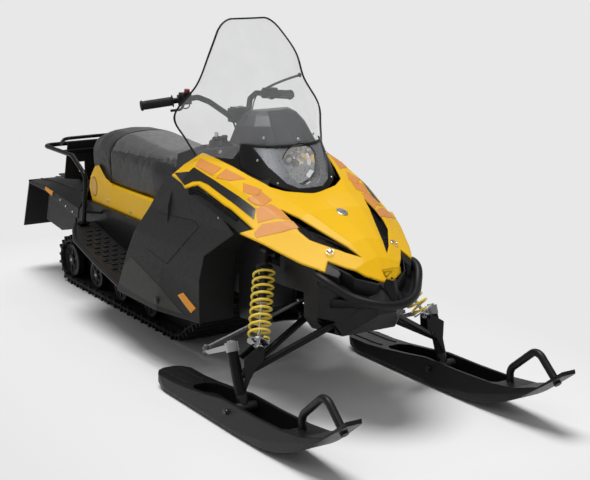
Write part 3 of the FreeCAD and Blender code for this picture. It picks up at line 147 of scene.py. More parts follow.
def paint(name, colour, rough=0.3, coat=0.3, patch=0.08, edge=0.003):
    """Sprayed or powder-coated metal: faint orange peel and thin dust in the tone."""
    s = Shader(name)
    tone = s.mix(s.noise(11.0, 5.0), shade(colour, 1 - patch), shade(colour, 1 + patch))
    wander = s.remap(s.noise(90.0, 3.0), rough - 0.05, rough + 0.07)
    return s.set(Base_Color=tone, Roughness=wander, Coat_Weight=coat, Coat_Roughness=0.1,
                 Specular_IOR_Level=0.08, Normal=s.bump(s.noise(450.0, 2.0), 0.12, 0.0004, edge)).mat


def metal(name, colour, rough=0.3, grain=300.0, depth=0.15, metallic=1.0):
    s = Shader(name)
    tone = s.mix(s.noise(20.0, 4.0), shade(colour, 0.88), shade(colour, 1.08))
    return s.set(Base_Color=tone, Metallic=metallic,
                 Roughness=s.remap(s.noise(70.0, 4.0), rough - 0.07, rough + 0.1),
                 Normal=s.bump(s.noise(grain, 3.0), depth, 0.0004, 0.001)).mat


def rubber(name, colour, rough=0.7):
    s = Shader(name)
    tone = s.mix(s.noise(14.0, 5.0, 0.65), shade(colour, 0.75), shade(colour, 1.5))
    return s.set(Base_Color=tone, Roughness=s.remap(s.noise(50.0, 3.0), rough - 0.1, rough + 0.1),
                 Specular_IOR_Level=0.3, Normal=s.bump(s.noise(500.0, 4.0), 0.4, 0.0008, 0.002)).mat


def clear(name, colour, rough, alpha):
    """Clear moulded sheet: mostly see-through, with a faint haze that varies."""
    s = Shader(name)
    haze = s.remap(s.noise(9.0, 3.0), alpha * 0.85, alpha * 1.15)
    return s.set(Base_Color=s.mix(s.noise(5.0), shade(colour, 0.97), colour), Roughness=rough,
                 IOR=1.5, Alpha=haze, Specular_IOR_Level=0.2,
                 Normal=s.bump(s.noise(4.0, 1.0), 0.04, 0.002)).mat


def two_tone(name, low, high, level, blur, rough_low, rough_high, metallic_low, metallic_high):
    """A part finished one way below a height and another way above it."""
    s = Shader(name)
    up = s.remap(s.axis("Z"), 0.0, 1.0, level - blur, level + blur)
    worn = s.noise(35.0, 4.0, 0.6)
    lower = s.mix(worn, shade(low, 0.8), shade(low, 1.2))
    tone = s.mix(up, lower, s.mix(worn, shade(high, 0.88), shade(high, 1.1)))
    rough = s.math("ADD", s.remap(up, rough_low, rough_high, 0.0, 1.0), s.remap(worn, -0.05, 0.08))
    return s.set(Base_Color=tone, Metallic=s.remap(up, metallic_low, metallic_high, 0.0, 1.0),
                 Roughness=rough, Normal=s.bump(s.noise(300.0, 3.0), 0.25, 0.0005, 0.0015)).mat


def vinyl(name, colour, rough, stretch):
    """Seat cover: a leather-like pebble grain, drawn out along the seat, with slow tone changes."""
    s = Shader(name)
    long = s.node("ShaderNodeMapping", {"Vector": s.coords, "Scale": (stretch, 1.0, 1.0)}).outputs["Vector"]
    pebble = s.math("ADD", s.cells(420.0, long), s.math("MULTIPLY", s.cells(900.0, long), 0.5))
    tone = s.mix(s.noise(6.0, 4.0), shade(colour, 0.86), shade(colour, 1.16))
    tone = s.mix(s.remap(pebble, 0.25, 0.0, 0.2, 0.9), tone, shade(colour, 0.5))
    return s.set(Base_Color=tone, Roughness=s.remap(s.noise(40.0, 3.0), rough - 0.05, rough + 0.08),
                 Specular_IOR_Level=0.45, Sheen_Weight=0.1, Normal=s.bump(pebble, 0.35, 0.0006)).mat


YELLOW = (0.92, 0.53, 0.012)
# Each finish: name, kind, colour, and then that kind's own values.
FINISHES = [
    ("body_yellow", paint, YELLOW, 0.36, 0.08, 0.03, 0.01),
    ("black_plastic", plastic, (0.0085, 0.0085, 0.009), 0.4, 0.006),
    ("grey_plastic", plastic, (0.0125, 0.0125, 0.012), 0.5, 0.008),
    ("frame_paint", paint, (0.008, 0.008, 0.009), 0.36, 0.15),
    ("sheet_metal", paint, (0.014, 0.014, 0.014), 0.42, 0.1),
    ("alloy", metal, (0.5, 0.5, 0.5), 0.42, 240.0, 0.4),
    ("steel", metal, (0.55, 0.55, 0.54), 0.3),
    ("chrome", metal, (0.75, 0.75, 0.77), 0.12),
    ("spring_paint", paint, (0.88, 0.66, 0.08), 0.25, 0.5),
    ("track_rubber", rubber, (0.009, 0.009, 0.009)),
    ("grip_rubber", rubber, (0.011, 0.011, 0.012), 0.6),
    ("seat_vinyl", vinyl, (0.012, 0.012, 0.0125), 0.46, 0.7),
    ("clear_screen", clear, (0.55, 0.56, 0.57), 0.03, 0.13),
    ("clear_lens", clear, (0.6, 0.62, 0.64), 0.02, 0.07),
    ("reflector_bowl", metal, (0.42, 0.43, 0.45), 0.3),
    ("amber", plastic, (0.78, 0.3, 0.008), 0.3, 0.004, 0.15, 300.0, 0.3, 0.05),
    ("red", plastic, (0.35, 0.01, 0.012), 0.2, 0.004, 0.6, 300.0, 0.5, 0.05),
    ("engine_metal", metal, (0.2, 0.2, 0.21), 0.5, 120.0, 0.5),
    ("stripe", paint, (0.76, 0.31, 0.08), 0.36, 0.1, 0.04),
    ("label", plastic, (0.016, 0.016, 0.017), 0.3, 0.0, 0.3),
    # the seat base's oval recess has no depth: its rim and floor are painted shade, darker than the body's
    # yellow
    ("recess_rim", paint, (0.4, 0.2, 0.01), 0.4, 0.1, 0.04),
    ("recess", paint, (0.72, 0.4, 0.1), 0.4, 0.1, 0.04),
    # the side panels' lower facet: lighter than the panel, painted light on a facet whose tilt is not
    # modelled
    ("skirt", plastic, (0.034, 0.034, 0.031), 0.5, 0.0),
    ("dark_steel", metal, (0.16, 0.16, 0.16), 0.36),
    ("wheel", plastic, (0.0055, 0.0055, 0.0055), 0.4, 0.003),
    # near-black matte: painted shade in holes, slots, grooves and openings; the bars over the hood's openings
    # share it
    ("dark", plastic, (0.003, 0.003, 0.003), 0.7, 0.0),
    ("cowl_smoke", plastic, (0.02, 0.02, 0.022), 0.34, 0.003, 0.25, 900.0, 0.0, 0.05),
    # the headlight facets: partly metallic, the rest near-white diffuse, a painted reflection that keeps them
    # bright
    ("mirror_bright", metal, (0.95, 0.95, 0.96), 0.1, 100.0, 0.05, 0.55),
    ("spindle", two_tone, (0.012, 0.012, 0.012), (0.42, 0.42, 0.42), 0.2, 0.004, 0.4, 0.4, 0.0, 1.0),
    ("damper", two_tone, (0.7, 0.7, 0.72), (0.012, 0.012, 0.013), 0.402, 0.002, 0.16, 0.35, 1.0, 0.0),
    # the seat's top panel: a lighter copy of the seat vinyl, painted light on the up-facing top
    ("seat_top", vinyl, (0.07, 0.07, 0.072), 0.38, 0.7),
]
FINISH = {name: kind(name, *values) for name, kind, *values in FINISHES}
# CAD nodes that look unlike their slot.
LOOKS = {"cowl_smoke": ["cowl"], "spindle": ["spindle_left", "spindle_right"],
         "damper": ["shock_left", "shock_right"], "wheel": ["rear_idlers", "bogie_wheels"],
         "dark_steel": ["tie_rod_left", "tie_rod_right", "drag_link"]}

for part in frame["record"]["subparts"]:
    node = NODES[part["node"]]
    node.data.materials.clear()
    node.data.materials.append(FINISH[part["material_slot"]])
    node.data.set_sharp_from_angle(angle=radians(SMOOTH_BELOW))
for look, names in LOOKS.items():
    for name in names:
        NODES[name].data.materials[0] = FINISH[look]

# ---- mesh helpers


# Stations, turned profiles and the radii of beads and screws are in millimetres, all else in metres.


def at(x, y, z):
    """A station as a place in this frame."""
    return Vector((x / 1000 + OX, y / 1000, z / 1000))


def unit(*parts):
    return Vector(parts).normalized()


def on_side(points, flip):
    """The points as they are where flip is 1, and mirrored to the other side where it is -1."""
    return [Vector((p.x, p.y * flip, p.z)) for p in points]


def stations(points, flip=1):
    return on_side([at(*p) for p in points], flip)


def pair(outline):
    """An outline of stations on one side, and its mirror image."""
    return [stations(outline), stations(outline, -1)]


def angles(count):
    """Evenly spaced angles all the way round."""
    return [2 * pi * k / count for k in range(count)]


def placed(name, data):
    obj = bpy.data.objects.new(name, data)
    bpy.context.scene.collection.objects.link(obj)
    return obj


def enter(name, data, slot, body, look=None):
    """A new object that rides on a body. It has its slot's finish unless a look is named."""
    obj = placed(name, data)
    data.materials.append(FINISH[look or slot])
    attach(obj, body)
    return obj


def mesh_piece(name, parts, slot="black_plastic", body="chassis", look=None, smooth=True):
    """One piece from a list of shapes, each given as its points and faces."""
    verts, faces = [], []
    for points, sides in parts:
        faces += [tuple(len(verts) + i for i in side) for side in sides]
        verts += [tuple(p) for p in points]
    mesh = bpy.data.meshes.new(name)
    mesh.from_pydata(verts, [], faces)
    if smooth:
        mesh.shade_smooth()
        mesh.set_sharp_from_angle(angle=radians(PIECE_SHARP))
    return enter(name, mesh, slot, body, look)


def lattice(rows, closed=False):
    """Faces between neighbouring rows of points that all have the same length."""
    wide = len(rows[0])
    verts = [p for row in rows for p in row]
    faces = []
    for i in range(len(rows) - 1):
        for j in range(wide if closed else wide - 1):
            k = (j + 1) % wide
            faces.append((i * wide + j, i * wide + k, (i + 1) * wide + k, (i + 1) * wide + j))
    return verts, faces


def capped(rings):
    """A closed lattice whose last ring is filled."""
    verts, faces = lattice(rings, True)
    return verts, faces + [tuple(range(len(verts) - len(rings[0]), len(verts)))]


def spline(points, steps, closed=False):
    """A smooth line through the points."""
    count = len(points)
    line = []
    for i in range(count if closed else count - 1):
        if closed:
            a, b, c, d = (points[(i + k) % count] for k in (-1, 0, 1, 2))
        else:
            b, c = points[i], points[i + 1]
            a = points[i - 1] if i else b * 2 - c
            d = points[i + 2] if i + 2 < count else c * 2 - b
        for k in range(steps):
            t = k / steps
            line.append(0.5 * (2 * b + (c - a) * t + (2 * a - 5 * b + 4 * c - d) * t * t
                               + (3 * b - a - 3 * c + d) * t ** 3))
    return line if closed else line + [points[-1]]


def frame_at(direction):
    """Two unit vectors across a direction."""
    side = direction.cross(UP)
    if side.length < 1e-4:
        side = direction.cross(Vector((0, 1, 0)))
    side.normalize()
    return side, direction.cross(side).normalized()


def tube(points, radius, closed=False, around=10, flat=1.0):
    """A round or oval bead along a line, its radius in millimetres; open ends are capped."""
    rings = []
    count = len(points)
    radius = radius / 1000
    for i, p in enumerate(points):
        before = points[(i - 1) % count] if closed or i else p
        after = points[(i + 1) % count] if closed or i + 1 < count else p
        u, v = frame_at((after - before).normalized())
        rings.append([p + u * radius * cos(a) + v * radius * flat * sin(a)
                      for a in angles(around)])
    if closed:
        rings.append(rings[0])
    verts, faces = lattice(rings, True)
    if not closed:
        faces.append(tuple(range(around))[::-1])
        faces.append(tuple(range(len(verts) - around, len(verts))))
    return verts, faces


def turned(place, axis, profile, around=24, cap=True):
    """A turned shape: profile gives radius and height along axis in millimetres, from the outside in."""
    u, v = frame_at(axis)
    rings = [[place + (axis * h + (u * cos(a) + v * sin(a)) * r) / 1000 for a in angles(around)]
             for r, h in profile]
    return capped(rings) if cap else lattice(rings, True)


def screw(place, axis, radius):
    """A domed screw head with a socket."""
    axis = axis.normalized()
    shape = [(1.0, -0.3), (1.0, 0.12), (0.86, 0.36), (0.62, 0.5), (0.4, 0.54), (0.36, 0.3), (0.05, 0.26)]
    return turned(place, axis, [(r * radius, h * radius) for r, h in shape])


def prism(low, high):
    """A closed shape between two polygons of the same number of corners."""
    count = len(low)
    faces = [tuple(range(count))[::-1], tuple(range(count, 2 * count))]
    faces += [(i, (i + 1) % count, count + (i + 1) % count, count + i) for i in range(count)]
    return low + high, faces


def slab(corners, thickness):
    """A flat polygon given a thickness along its normal."""
    normal = sum(((a - corners[0]).cross(b - corners[0]) for a, b in zip(corners[1:], corners[2:])), Vector())
    lift = normal.normalized() * thickness
    return prism(corners, [p + lift for p in corners])


def surface_of(*nodes):
    verts, faces = [], []
    for name in nodes:
        mesh = NODES[name].data
        base = len(verts)
        verts += [v.co.copy() for v in mesh.vertices]
        faces += [[base + i for i in p.vertices] for p in mesh.polygons]
    return BVHTree.FromPolygons(verts, faces)


def cast(surface, point, way, reach=0.12):
    """Where a line through the point along way meets the surface from outside."""
    hit = surface.ray_cast(point + way * reach, -way, 2 * reach)
    return hit[0] if hit[0] is not None else point


def screwed(surface, place, out, radius, reach=0.12):
    """A screw whose head stands on a surface."""
    return screw(cast(surface, place, out, reach), out, radius)


def ridge(surface, stops, y, z, radius):
    """A bead along X that lies on a surface, dropped onto it from a height."""
    hits = [surface.ray_cast(at(x, y, z), DOWN, 1.0)[0] for x in stops]
    return tube([p for p in hits if p is not None], radius, around=8)


def patch(name, outlines, surface, slot, lift, thickness, look, fine=0.014):
    """Thin pieces laid on a surface: each outline is filled, split finely and cast onto it."""
    mesh = bmesh.new()
    for corners in outlines:
        normal = Vector()
        for a, b in zip(corners, corners[1:] + corners[:1]):
            normal += a.cross(b)
        outward = normal.normalized()
        if outward.dot(Vector((0.2, corners[0].y, 0.5))) < 0:
            outward = -outward
            corners = corners[::-1]
        one = bmesh.new()
        one.faces.new([one.verts.new(p) for p in corners])
        bmesh.ops.triangulate(one, faces=one.faces[:])
        for _ in range(6):
            long = [e for e in one.edges if e.calc_length() > fine]
            if not long:
                break
            bmesh.ops.subdivide_edges(one, edges=long, cuts=1)
            bmesh.ops.triangulate(one, faces=one.faces[:])
        low = {v: mesh.verts.new(cast(surface, v.co, outward) + outward * lift) for v in one.verts}
        high = {v: mesh.verts.new(low[v].co + outward * thickness) for v in one.verts}
        rings = [[high[v] for v in f.verts] for f in one.faces]
        rings += [[low[v] for v in reversed(f.verts)] for f in one.faces]
        for e in one.edges:
            if len(e.link_faces) == 1:
                a, b = e.link_loops[0].vert, e.link_loops[0].link_loop_next.vert
                rings.append([low[a], low[b], high[b], high[a]])
        for ring in rings:
            if mesh.faces.get(ring) is None:
                mesh.faces.new(ring)
        one.free()
    data = bpy.data.meshes.new(name)
    mesh.to_mesh(data)
    mesh.free()
    data.shade_smooth()
    data.set_sharp_from_angle(angle=radians(PATCH_SHARP))
    return enter(name, data, slot, "chassis", look)


# ---- hood: stripes, panels and fittings
hood_skin = surface_of("hood")

# Slanted blocks between the hood's upper edge and the side label, on the right: x, y, z.
STRIPES = [
    [(-594, -266, 828), (-477, -239, 806), (-471, -279, 781), (-584, -292, 802)],
    [(-459, -232, 804), (-364, -203, 779), (-394, -256, 772), (-451, -278, 776)],
    [(-351, -223, 768), (-280, -186, 751), (-261, -214, 735), (-301, -252, 743)],
    [(-272, -191, 745), (-221, -180, 724), (-211, -223, 709), (-235, -242, 710), (-273, -252, 726)],
    [(-221, -246, 699), (-206, -194, 714), (-162, -180, 698), (-102, -180, 674), (-139, -214, 678),
     (-174, -266, 660)],
    [(-160, -258, 658), (-92, -174, 671), (-58, -171, 653), (-80, -222, 640), (-135, -297, 618),
     (-155, -293, 631)],
]
LABEL = [(-692, -322, 762), (-594, -313, 780), (-583, -297, 797), (-222, -247, 699), (-196, -269, 668),
         (-268, -283, 696), (-375, -296, 728), (-468, -302, 752), (-515, -309, 758), (-547, -321, 753),
         (-577, -341, 736)]


stripes = [side for outline in STRIPES for side in pair(outline)]
patch("hood_stripes", stripes, hood_skin, "body_yellow", 0.0003, 0.0005, "stripe")
patch("hood_labels", pair(LABEL), hood_skin, "black_plastic", 0.0004, 0.0016, "label")

# Under each label: a filled strip between two lines, with a ribbed near-black grille over its upper part,
# painted shade for the open intake.
LOUVRE_BULGE, LOUVRE_RUN, LOUVRE_SHARE, LOUVRE_TAPER = 0.0025, 0.86, 0.62, 0.55
LONG_RIB_R, CROSS_RIB_R = 2.2, 1.8
SLOT_TOP = [(-560, -331, 726), (-505, -318, 738), (-334, -303, 694), (-178, -281, 640)]
SLOT_LOW = [(-548, -331, 690), (-470, -329, 684), (-300, -322, 646), (-205, -318, 618)]
grille, infill = [], []
for lines in zip(pair(SLOT_TOP), pair(SLOT_LOW)):
    top, low = (spline(line, 8) for line in lines)
    out = Vector((0, copysign(LOUVRE_BULGE, top[0].y), 0))
    infill.append(lattice([top, [a.lerp(b, 0.5) + out for a, b in zip(top, low)], low]))
    last = int(len(top) * LOUVRE_RUN)
    heads = [a + out for a in top[:last]]
    ends = [a.lerp(b, LOUVRE_SHARE * (1 - LOUVRE_TAPER * i / last)) + out * 2
            for i, (a, b) in enumerate(zip(top[:last], low))]
    grille.append(lattice([heads, ends]))
    for k in (1, 2):
        grille.append(tube([a.lerp(b, k / 3) + out for a, b in zip(heads, ends)], LONG_RIB_R, around=6))
    for j in range(1, last, 3):
        grille.append(tube([heads[j] + out, ends[j] + out], CROSS_RIB_R, around=6))
mesh_piece("side_infill", infill, "grey_plastic")
mesh_piece("side_intakes", grille, look="dark")

# Ring fasteners: a domed stud inside a bail, one on each side of the nose.
STUD = [(8, -2), (8, 2), (6.6, 4), (3, 5), (1, 5)]
BAIL_R, BAIL_WIRE_R, BAIL_LIFT, BAIL_SHIFT = 13, 1.7, 3.5, 7
rings = []
for y in (-129, 129):
    foot = cast(hood_skin, at(72, y, 590), unit(0.35, y / 400, 0.9))
    up = unit(0.42, copysign(0.28, y), 0.86)
    u, v = frame_at(up)
    rings.append(turned(foot, up, STUD))
    bail = [foot + (up * BAIL_LIFT + (u * cos(a) + v * sin(a)) * BAIL_R + v * BAIL_SHIFT) / 1000
            for a in angles(24)]
    rings.append(tube(bail, BAIL_WIRE_R, closed=True, around=8))
mesh_piece("hood_fasteners", rings, "chrome")

# A bare oval badge on the middle of the hood.
badge_foot = cast(hood_skin, at(-62, 10, 688), unit(0.3, 0.0, 0.95))
badge_up = unit(0.32, 0.0, 0.95)
u, v = frame_at(badge_up)
BADGE_HALF = (0.019, 0.024)
badge = []
for grow, height in ((1.0, 0.0), (1.0, 0.0018), (0.9, 0.003), (0.8, 0.0024), (0.5, 0.0034), (0.1, 0.0038)):
    badge.append([badge_foot + badge_up * height + u * BADGE_HALF[0] * grow * cos(a)
                  + v * BADGE_HALF[1] * grow * sin(a) for a in angles(36)])
mesh_piece("hood_badge", [capped(badge)], "steel")

# ---- screws in the body panels
# place, way out, radius in millimetres; those off the centre line are on both sides
SCREWS = [((-398, 135, 837), (0.85, 0.5, 0.1), 4.5), ((-296, 112, 766), (0.9, 0.4, 0.0), 4.5),
          ((-360, 12, 903), (0.9, 0.0, 0.4), 7.0), ((-414, 98, 908), (0.8, 0.5, 0.4), 5.5),
          ((-510, 240, 858), (0.6, 0.8, 0.1), 7.0), ((-50, 180, 398), (0.1, 1.0, 0.0), 5.0),
          ((-356, 327, 652), (0.0, 1.0, 0.1), 4.5), ((-1612, 188, 484), (0, 1, 0), 6.0),
          ((-1376, 188, 476), (0, 1, 0), 6.0)]
solids = surface_of("headlight_bezel", "cowl", "windscreen", "belly_pan", "side_panel_left",
                    "side_panel_right", "seat_base")
heads = []
for place, way, radius in SCREWS:
    for flip in ((1, -1) if abs(place[1]) > 20 else (1,)):
        foot, out = stations([place], flip)[0], on_side([Vector(way)], flip)[0].normalized()
        heads.append(screwed(solids, foot, out, radius, 0.06))
mesh_piece("panel_screws", heads, "steel")

# ---- windscreen and its edge trim
# By height: z, then half a line from the middle to the side edge, x and y.
SCREEN = [(800, [(-272, 0), (-312, 100), (-432, 200), (-575, 262)]),
          (893.5, [(-340, 0), (-373, 90), (-470, 182), (-640, 298)]),
          (980, [(-412, 0), (-440, 95), (-530, 205), (-688, 319)]),
          (1090, [(-505, 0), (-522, 80), (-575, 165), (-665, 236)]),
          (1200, [(-592, 0), (-600, 65), (-622, 130), (-656, 188)]),
          (1330, [(-690, 0), (-691, 35), (-694, 72), (-700, 105)])]
SCREEN_FOOT_Z = 894.0
SCREEN_TOP_Z = 1326.0  # leaves room under the CAD screen's top for the trim
EAR_FOOT_Z = 838.0
EAR_FROM, EAR_BLEND = 0.62, 0.08  # share of the half width where the ears start, and how far they blend
TOP_HALF, CORNER_R = 105.0, 40.0
ACROSS_STEPS, UP_STEPS = 24, 34
SCREEN_T, TRIM_R = 4.0, 4.2


def screen_rows():
    """The screen's half lines as smooth rows of one size, then smooth columns through them."""
    rows = []
    for z, line in SCREEN:
        points = [Vector((x, y, z)) for x, y in line]
        rows.append(spline(on_side(reversed(points[1:]), -1) + points, ACROSS_STEPS // 3))
    return [spline([row[j] for row in rows], UP_STEPS) for j in range(len(rows[0]))]


def on_column(column, z):
    for a, b in zip(column, column[1:]):
        if a.z <= z <= b.z:
            return a.lerp(b, (z - a.z) / max(1e-6, b.z - a.z))
    return column[-1] if z > column[-1].z else column[0]


columns = screen_rows()
edge = len(columns) - 1
grid = []
for j, column in enumerate(columns):
    share = abs(2 * j / edge - 1)
    inside = max(0.0, share * TOP_HALF - (TOP_HALF - CORNER_R))
    top = SCREEN_TOP_Z - (CORNER_R - sqrt(max(0.0, CORNER_R ** 2 - inside ** 2)))
    ear = min(1.0, max(0.0, (share - EAR_FROM) / EAR_BLEND))
    foot = SCREEN_FOOT_Z + (EAR_FOOT_Z - SCREEN_FOOT_Z) * ear
    grid.append([on_column(column, foot + (top - foot) * k / UP_STEPS) for k in range(UP_STEPS + 1)])
front = [stations(row) for row in grid]
screen = mesh_piece("windscreen_sheet", [lattice(front)], "clear_screen")
thick = screen.modifiers.new("thickness", "SOLIDIFY")
thick.thickness = SCREEN_T / 1000
thick.offset = 1.0 if screen.data.polygons[0].normal.x < 0 else -1.0
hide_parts("windscreen")

rim = front[0] + [row[-1] for row in front[1:-1]] + front[-1][::-1]
rim = [p - Vector((SCREEN_T / 2000, 0, 0)) for p in rim]
mesh_piece("windscreen_trim", [tube(rim, TRIM_R, flat=0.8)])

# ---- headlight: faceted bowl and bulb shield
LAMP = Vector((-300, 0, 820))
BOWL_R, BOWL_DEPTH, BOWL_BACK = 72.0, 34.0, -364.0
HOLE_R = 14  # the bowl's opening for the bulb
COLLAR_R = 76.5
FACETS, RINGS = 14, 5
FACET_FILL = 0.985  # the rest of each facet's width is the line to the next one
TILTS = (0.0, 2.1, -1.4, 1.1, -2.2, 0.7, 1.8, -0.9, 2.4, -1.9, 0.4)
lamp = []
for ring in range(RINGS):
    r0, r1 = (HOLE_R + (BOWL_R - HOLE_R) * step / RINGS for step in (ring, ring + 1))
    for k in range(FACETS):
        tilt = TILTS[(ring * 5 + k * 3) % len(TILTS)]
        lean = TILTS[(ring * 3 + k * 7) % len(TILTS)]
        quad = []
        for r, side in ((r0, 0), (r1, 0), (r1, 1), (r0, 1)):
            a = 2 * pi * (k + side * FACET_FILL + 0.5 * (ring % 2)) / FACETS
            depth = BOWL_BACK + BOWL_DEPTH * (r / BOWL_R) ** 2
            depth += tilt * (1 if r == r1 else -0.4) + lean * (side - 0.5)
            quad.append(at(depth, LAMP.y + r * cos(a), LAMP.z + r * sin(a)))
        lamp.append((quad, [(0, 1, 2, 3)]))
# The facets' near-white diffuse share is painted reflection.
mesh_piece("headlight_facets", lamp, "reflector_bowl", look="mirror_bright", smooth=False)
collar = [at(-326, COLLAR_R * cos(a), LAMP.z + COLLAR_R * sin(a)) for a in angles(40)]
mesh_piece("headlight_collar", [tube(collar, 1.8, closed=True, around=8)], "grey_plastic")
SHIELD = [(13, -4), (13, 10), (11, 20), (9, 27), (5, 30), (1, 31)]
shield = turned(at(BOWL_BACK - 2, 0, LAMP.z), unit(1, 0, 0.06), SHIELD)
mesh_piece("headlight_bulb_shield", [shield], "steel")

# ---- seat
SEAT_VOXEL = 0.008
CLOTH_FRAMES = 20
SEAT_SWELL = 0.007  # how far the cover may swell from the foam's own shape
BOLSTER_X = OX - 1.608  # the seam in front of the raised rear of the seat
BOLSTER_FROM_Z = 0.575  # that seam starts above this height,
BOLSTER_LEAN = 0.09  # and leans back by this much a metre above the next height
BOLSTER_LEAN_Z = 0.58
SEAM_Z = 0.728  # the seam between the top panel and the sides
SEAM_FROM_Y = 0.1
BOLSTER_HALF, BOLSTER_DEPTH = 0.012, 0.0045  # half width and depth of each sewn channel
SEAM_HALF, SEAM_DEPTH = 0.011, 0.0035
SEAT_SHRINK = Vector((0.984, 0.972, 0.965))  # the cushion before it is filled, as a share of the foam
SEAT_GAP = 0.0005  # between the cushion and what it rests on


def seat_body():
    """The cushion: the seat's closed form a little smaller, filled by pressure, then smoothed."""
    mesh = NODES["seat"].data.copy()
    mesh.name = "seat_cushion"
    low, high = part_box("seat")
    middle = (low + high) / 2
    floor_z = low.z + SEAT_GAP
    for v in mesh.vertices:
        v.co = middle + (v.co - middle) * SEAT_SHRINK
        v.co.z += floor_z - (middle.z + (low.z - middle.z) * SEAT_SHRINK.z)
    seat = placed("seat_cushion", mesh)
    remesh = seat.modifiers.new("remesh", "REMESH")
    remesh.mode = "VOXEL"
    remesh.voxel_size = SEAT_VOXEL
    relax = seat.modifiers.new("relax", "SMOOTH")
    relax.iterations = 12
    relax.factor = 0.6
    apply_all(seat)
    before = [v.co.copy() for v in seat.data.vertices]
    inflate(seat)
    for v, start in zip(seat.data.vertices, before):
        move = v.co - start
        if move.length > SEAT_SWELL:
            move *= SEAT_SWELL / move.length
        v.co = start + move
        v.co.z = max(v.co.z, floor_z)
    return seat


def apply_all(obj):
    ready = obj.evaluated_get(bpy.context.evaluated_depsgraph_get())
    made = bpy.data.meshes.new_from_object(ready)
    obj.modifiers.clear()
    obj.data = made


def inflate(obj):
    cloth = obj.modifiers.new("cloth", "CLOTH")
    settings = cloth.settings
    settings.use_pressure = True
    settings.uniform_pressure_force = 4.0
    settings.effector_weights.gravity = 0.0
    settings.tension_stiffness = 15
    settings.quality = 4
    cloth.collision_settings.use_collision = False
    cloth.point_cache.frame_start = 1
    cloth.point_cache.frame_end = CLOTH_FRAMES
    scene = bpy.context.scene
    for number in range(1, CLOTH_FRAMES + 1):
        scene.frame_set(number)
    apply_all(obj)
    scene.frame_set(1)


def press_seams(seat):
    """Sewn channels: one over the seat in front of its raised rear, one along each side of the top."""
    for v in seat.data.vertices:
        bolster = abs(v.co.x - (BOLSTER_X + (v.co.z - BOLSTER_LEAN_Z) * BOLSTER_LEAN))
        inward = 0.0
        if bolster < BOLSTER_HALF and v.co.z > BOLSTER_FROM_Z:
            inward = BOLSTER_DEPTH * (1 - bolster / BOLSTER_HALF)
        side = abs(v.co.z - top_seam_z(v.co.x))
        if side < SEAM_HALF and v.co.x > BOLSTER_X and abs(v.co.y) > SEAM_FROM_Y:
            inward = max(inward, SEAM_DEPTH * (1 - side / SEAM_HALF))
        if inward:
            v.co -= v.normal * inward


def top_seam_z(x):
    """Height of the seam between the top panel and the sides, rising to the rear."""
    return SEAM_Z + 0.012 * sin((x - OX + 1.2) * 4.0)


seat = seat_body()
press_seams(seat)
seat.data.materials.clear()
seat.data.materials.append(FINISH["seat_vinyl"])
seat.data.materials.append(FINISH["seat_top"])
# Up-facing faces of the top panel take the lighter vinyl: painted light on the seat's top.
for face in seat.data.polygons:
    c = face.center
    if c.x > BOLSTER_X + BOLSTER_HALF and c.z > top_seam_z(c.x) and face.normal.z > 0.15:
        face.material_index = 1
seat.data.shade_smooth()
finer = seat.modifiers.new("finer", "SUBSURF")
finer.levels = finer.render_levels = 1
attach(seat, "chassis")
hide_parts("seat")
seat_skin = BVHTree.FromObject(seat, bpy.context.evaluated_depsgraph_get())


def over_seat(x, angle):
    """A point on the seat's skin, seen from inside it at an angle up from the right side."""
    start = Vector((x, 0, 0.62))
    way = Vector((0, -cos(angle), sin(angle)))
    hit = seat_skin.ray_cast(start + way * 0.4, -way, 0.6)
    return (hit[0], hit[1]) if hit[0] is not None else (start + way * 0.15, way)


WELT_STEPS, WELT_PAST = 40, 0.12  # the welt runs this angle past level on each side
WELT_RISE = 0.16  # its height over the point that the angles start from
welt = []
for k in range(WELT_STEPS + 1):
    angle = -WELT_PAST + (pi + 2 * WELT_PAST) * k / WELT_STEPS
    place, normal = over_seat(BOLSTER_X + BOLSTER_LEAN * max(0.0, sin(angle)) * WELT_RISE, angle)
    welt.append(place + normal * 0.0006)
mesh_piece("seat_welt", [tube(welt, 2.1, around=8)], "seat_vinyl")

# ---- liners behind the hood's openings: near-black painted shade in the vents and the nose recess
VENT = [(151, 52), (105, 92), (0, 164), (-43, 177), (-166, 178)]  # plan of one vent, x and y
VENT_GROW, VENT_DEPTH, VENT_BARS = 1.13, 0.016, 12
VENT_WIRE_R = 1.6


def hood_below(x, y, spare_z):
    """The hood's top at a station, or a spare height where the hood is open."""
    return hood_skin.ray_cast(at(x, y, 1000), DOWN, 1.0)[0] or at(x, y, spare_z)


middle = sum((Vector(p) for p in VENT), Vector((0, 0))) / len(VENT)
meshes = []
# Each vent: a flat sheet under the opening in near-black painted shade, with dark wires over it.
for flip in (1, -1):
    wide = [middle + (Vector(p) - middle) * VENT_GROW for p in VENT]
    rim = [hood_below(p.x, p.y * flip, 620) - UP * VENT_DEPTH for p in wide]
    meshes.append((rim, [(0, 1, 2, 3, 4)]))
    for k in range(1, VENT_BARS):
        t = k / VENT_BARS
        a = rim[4].lerp(rim[0], t)
        b = rim[3].lerp(rim[1], t) if t < 0.5 else rim[2].lerp(rim[1], (t - 0.5) * 2)
        meshes.append(tube([a + UP * 0.002, b + UP * 0.002], VENT_WIRE_R, around=6))
mesh_piece("vent_mesh", meshes, look="dark")

# Dark panels between the cowl's foot and the hood's upper edge, and behind the hood's nose a near-black sheet
# of painted shade.
DASH_IN = [(-368, 60, 878), (-420, 124, 878), (-480, 158, 878), (-560, 166, 868), (-700, 170, 840)]
DASH_OUT = [(-300, 148, 756), (-370, 180, 776), (-456, 203, 792), (-529, 221, 814), (-700, 235, 822)]
liner = []
for flip in (1, -1):
    inner_line = spline(stations(DASH_IN, flip), 6)
    outer_line = spline(stations(DASH_OUT, flip), 6)
    bowed = [a.lerp(b, 0.5) + UP * 0.012 for a, b in zip(inner_line, outer_line)]
    liner.append(lattice([inner_line, bowed, outer_line]))
mesh_piece("dash_liner", liner)
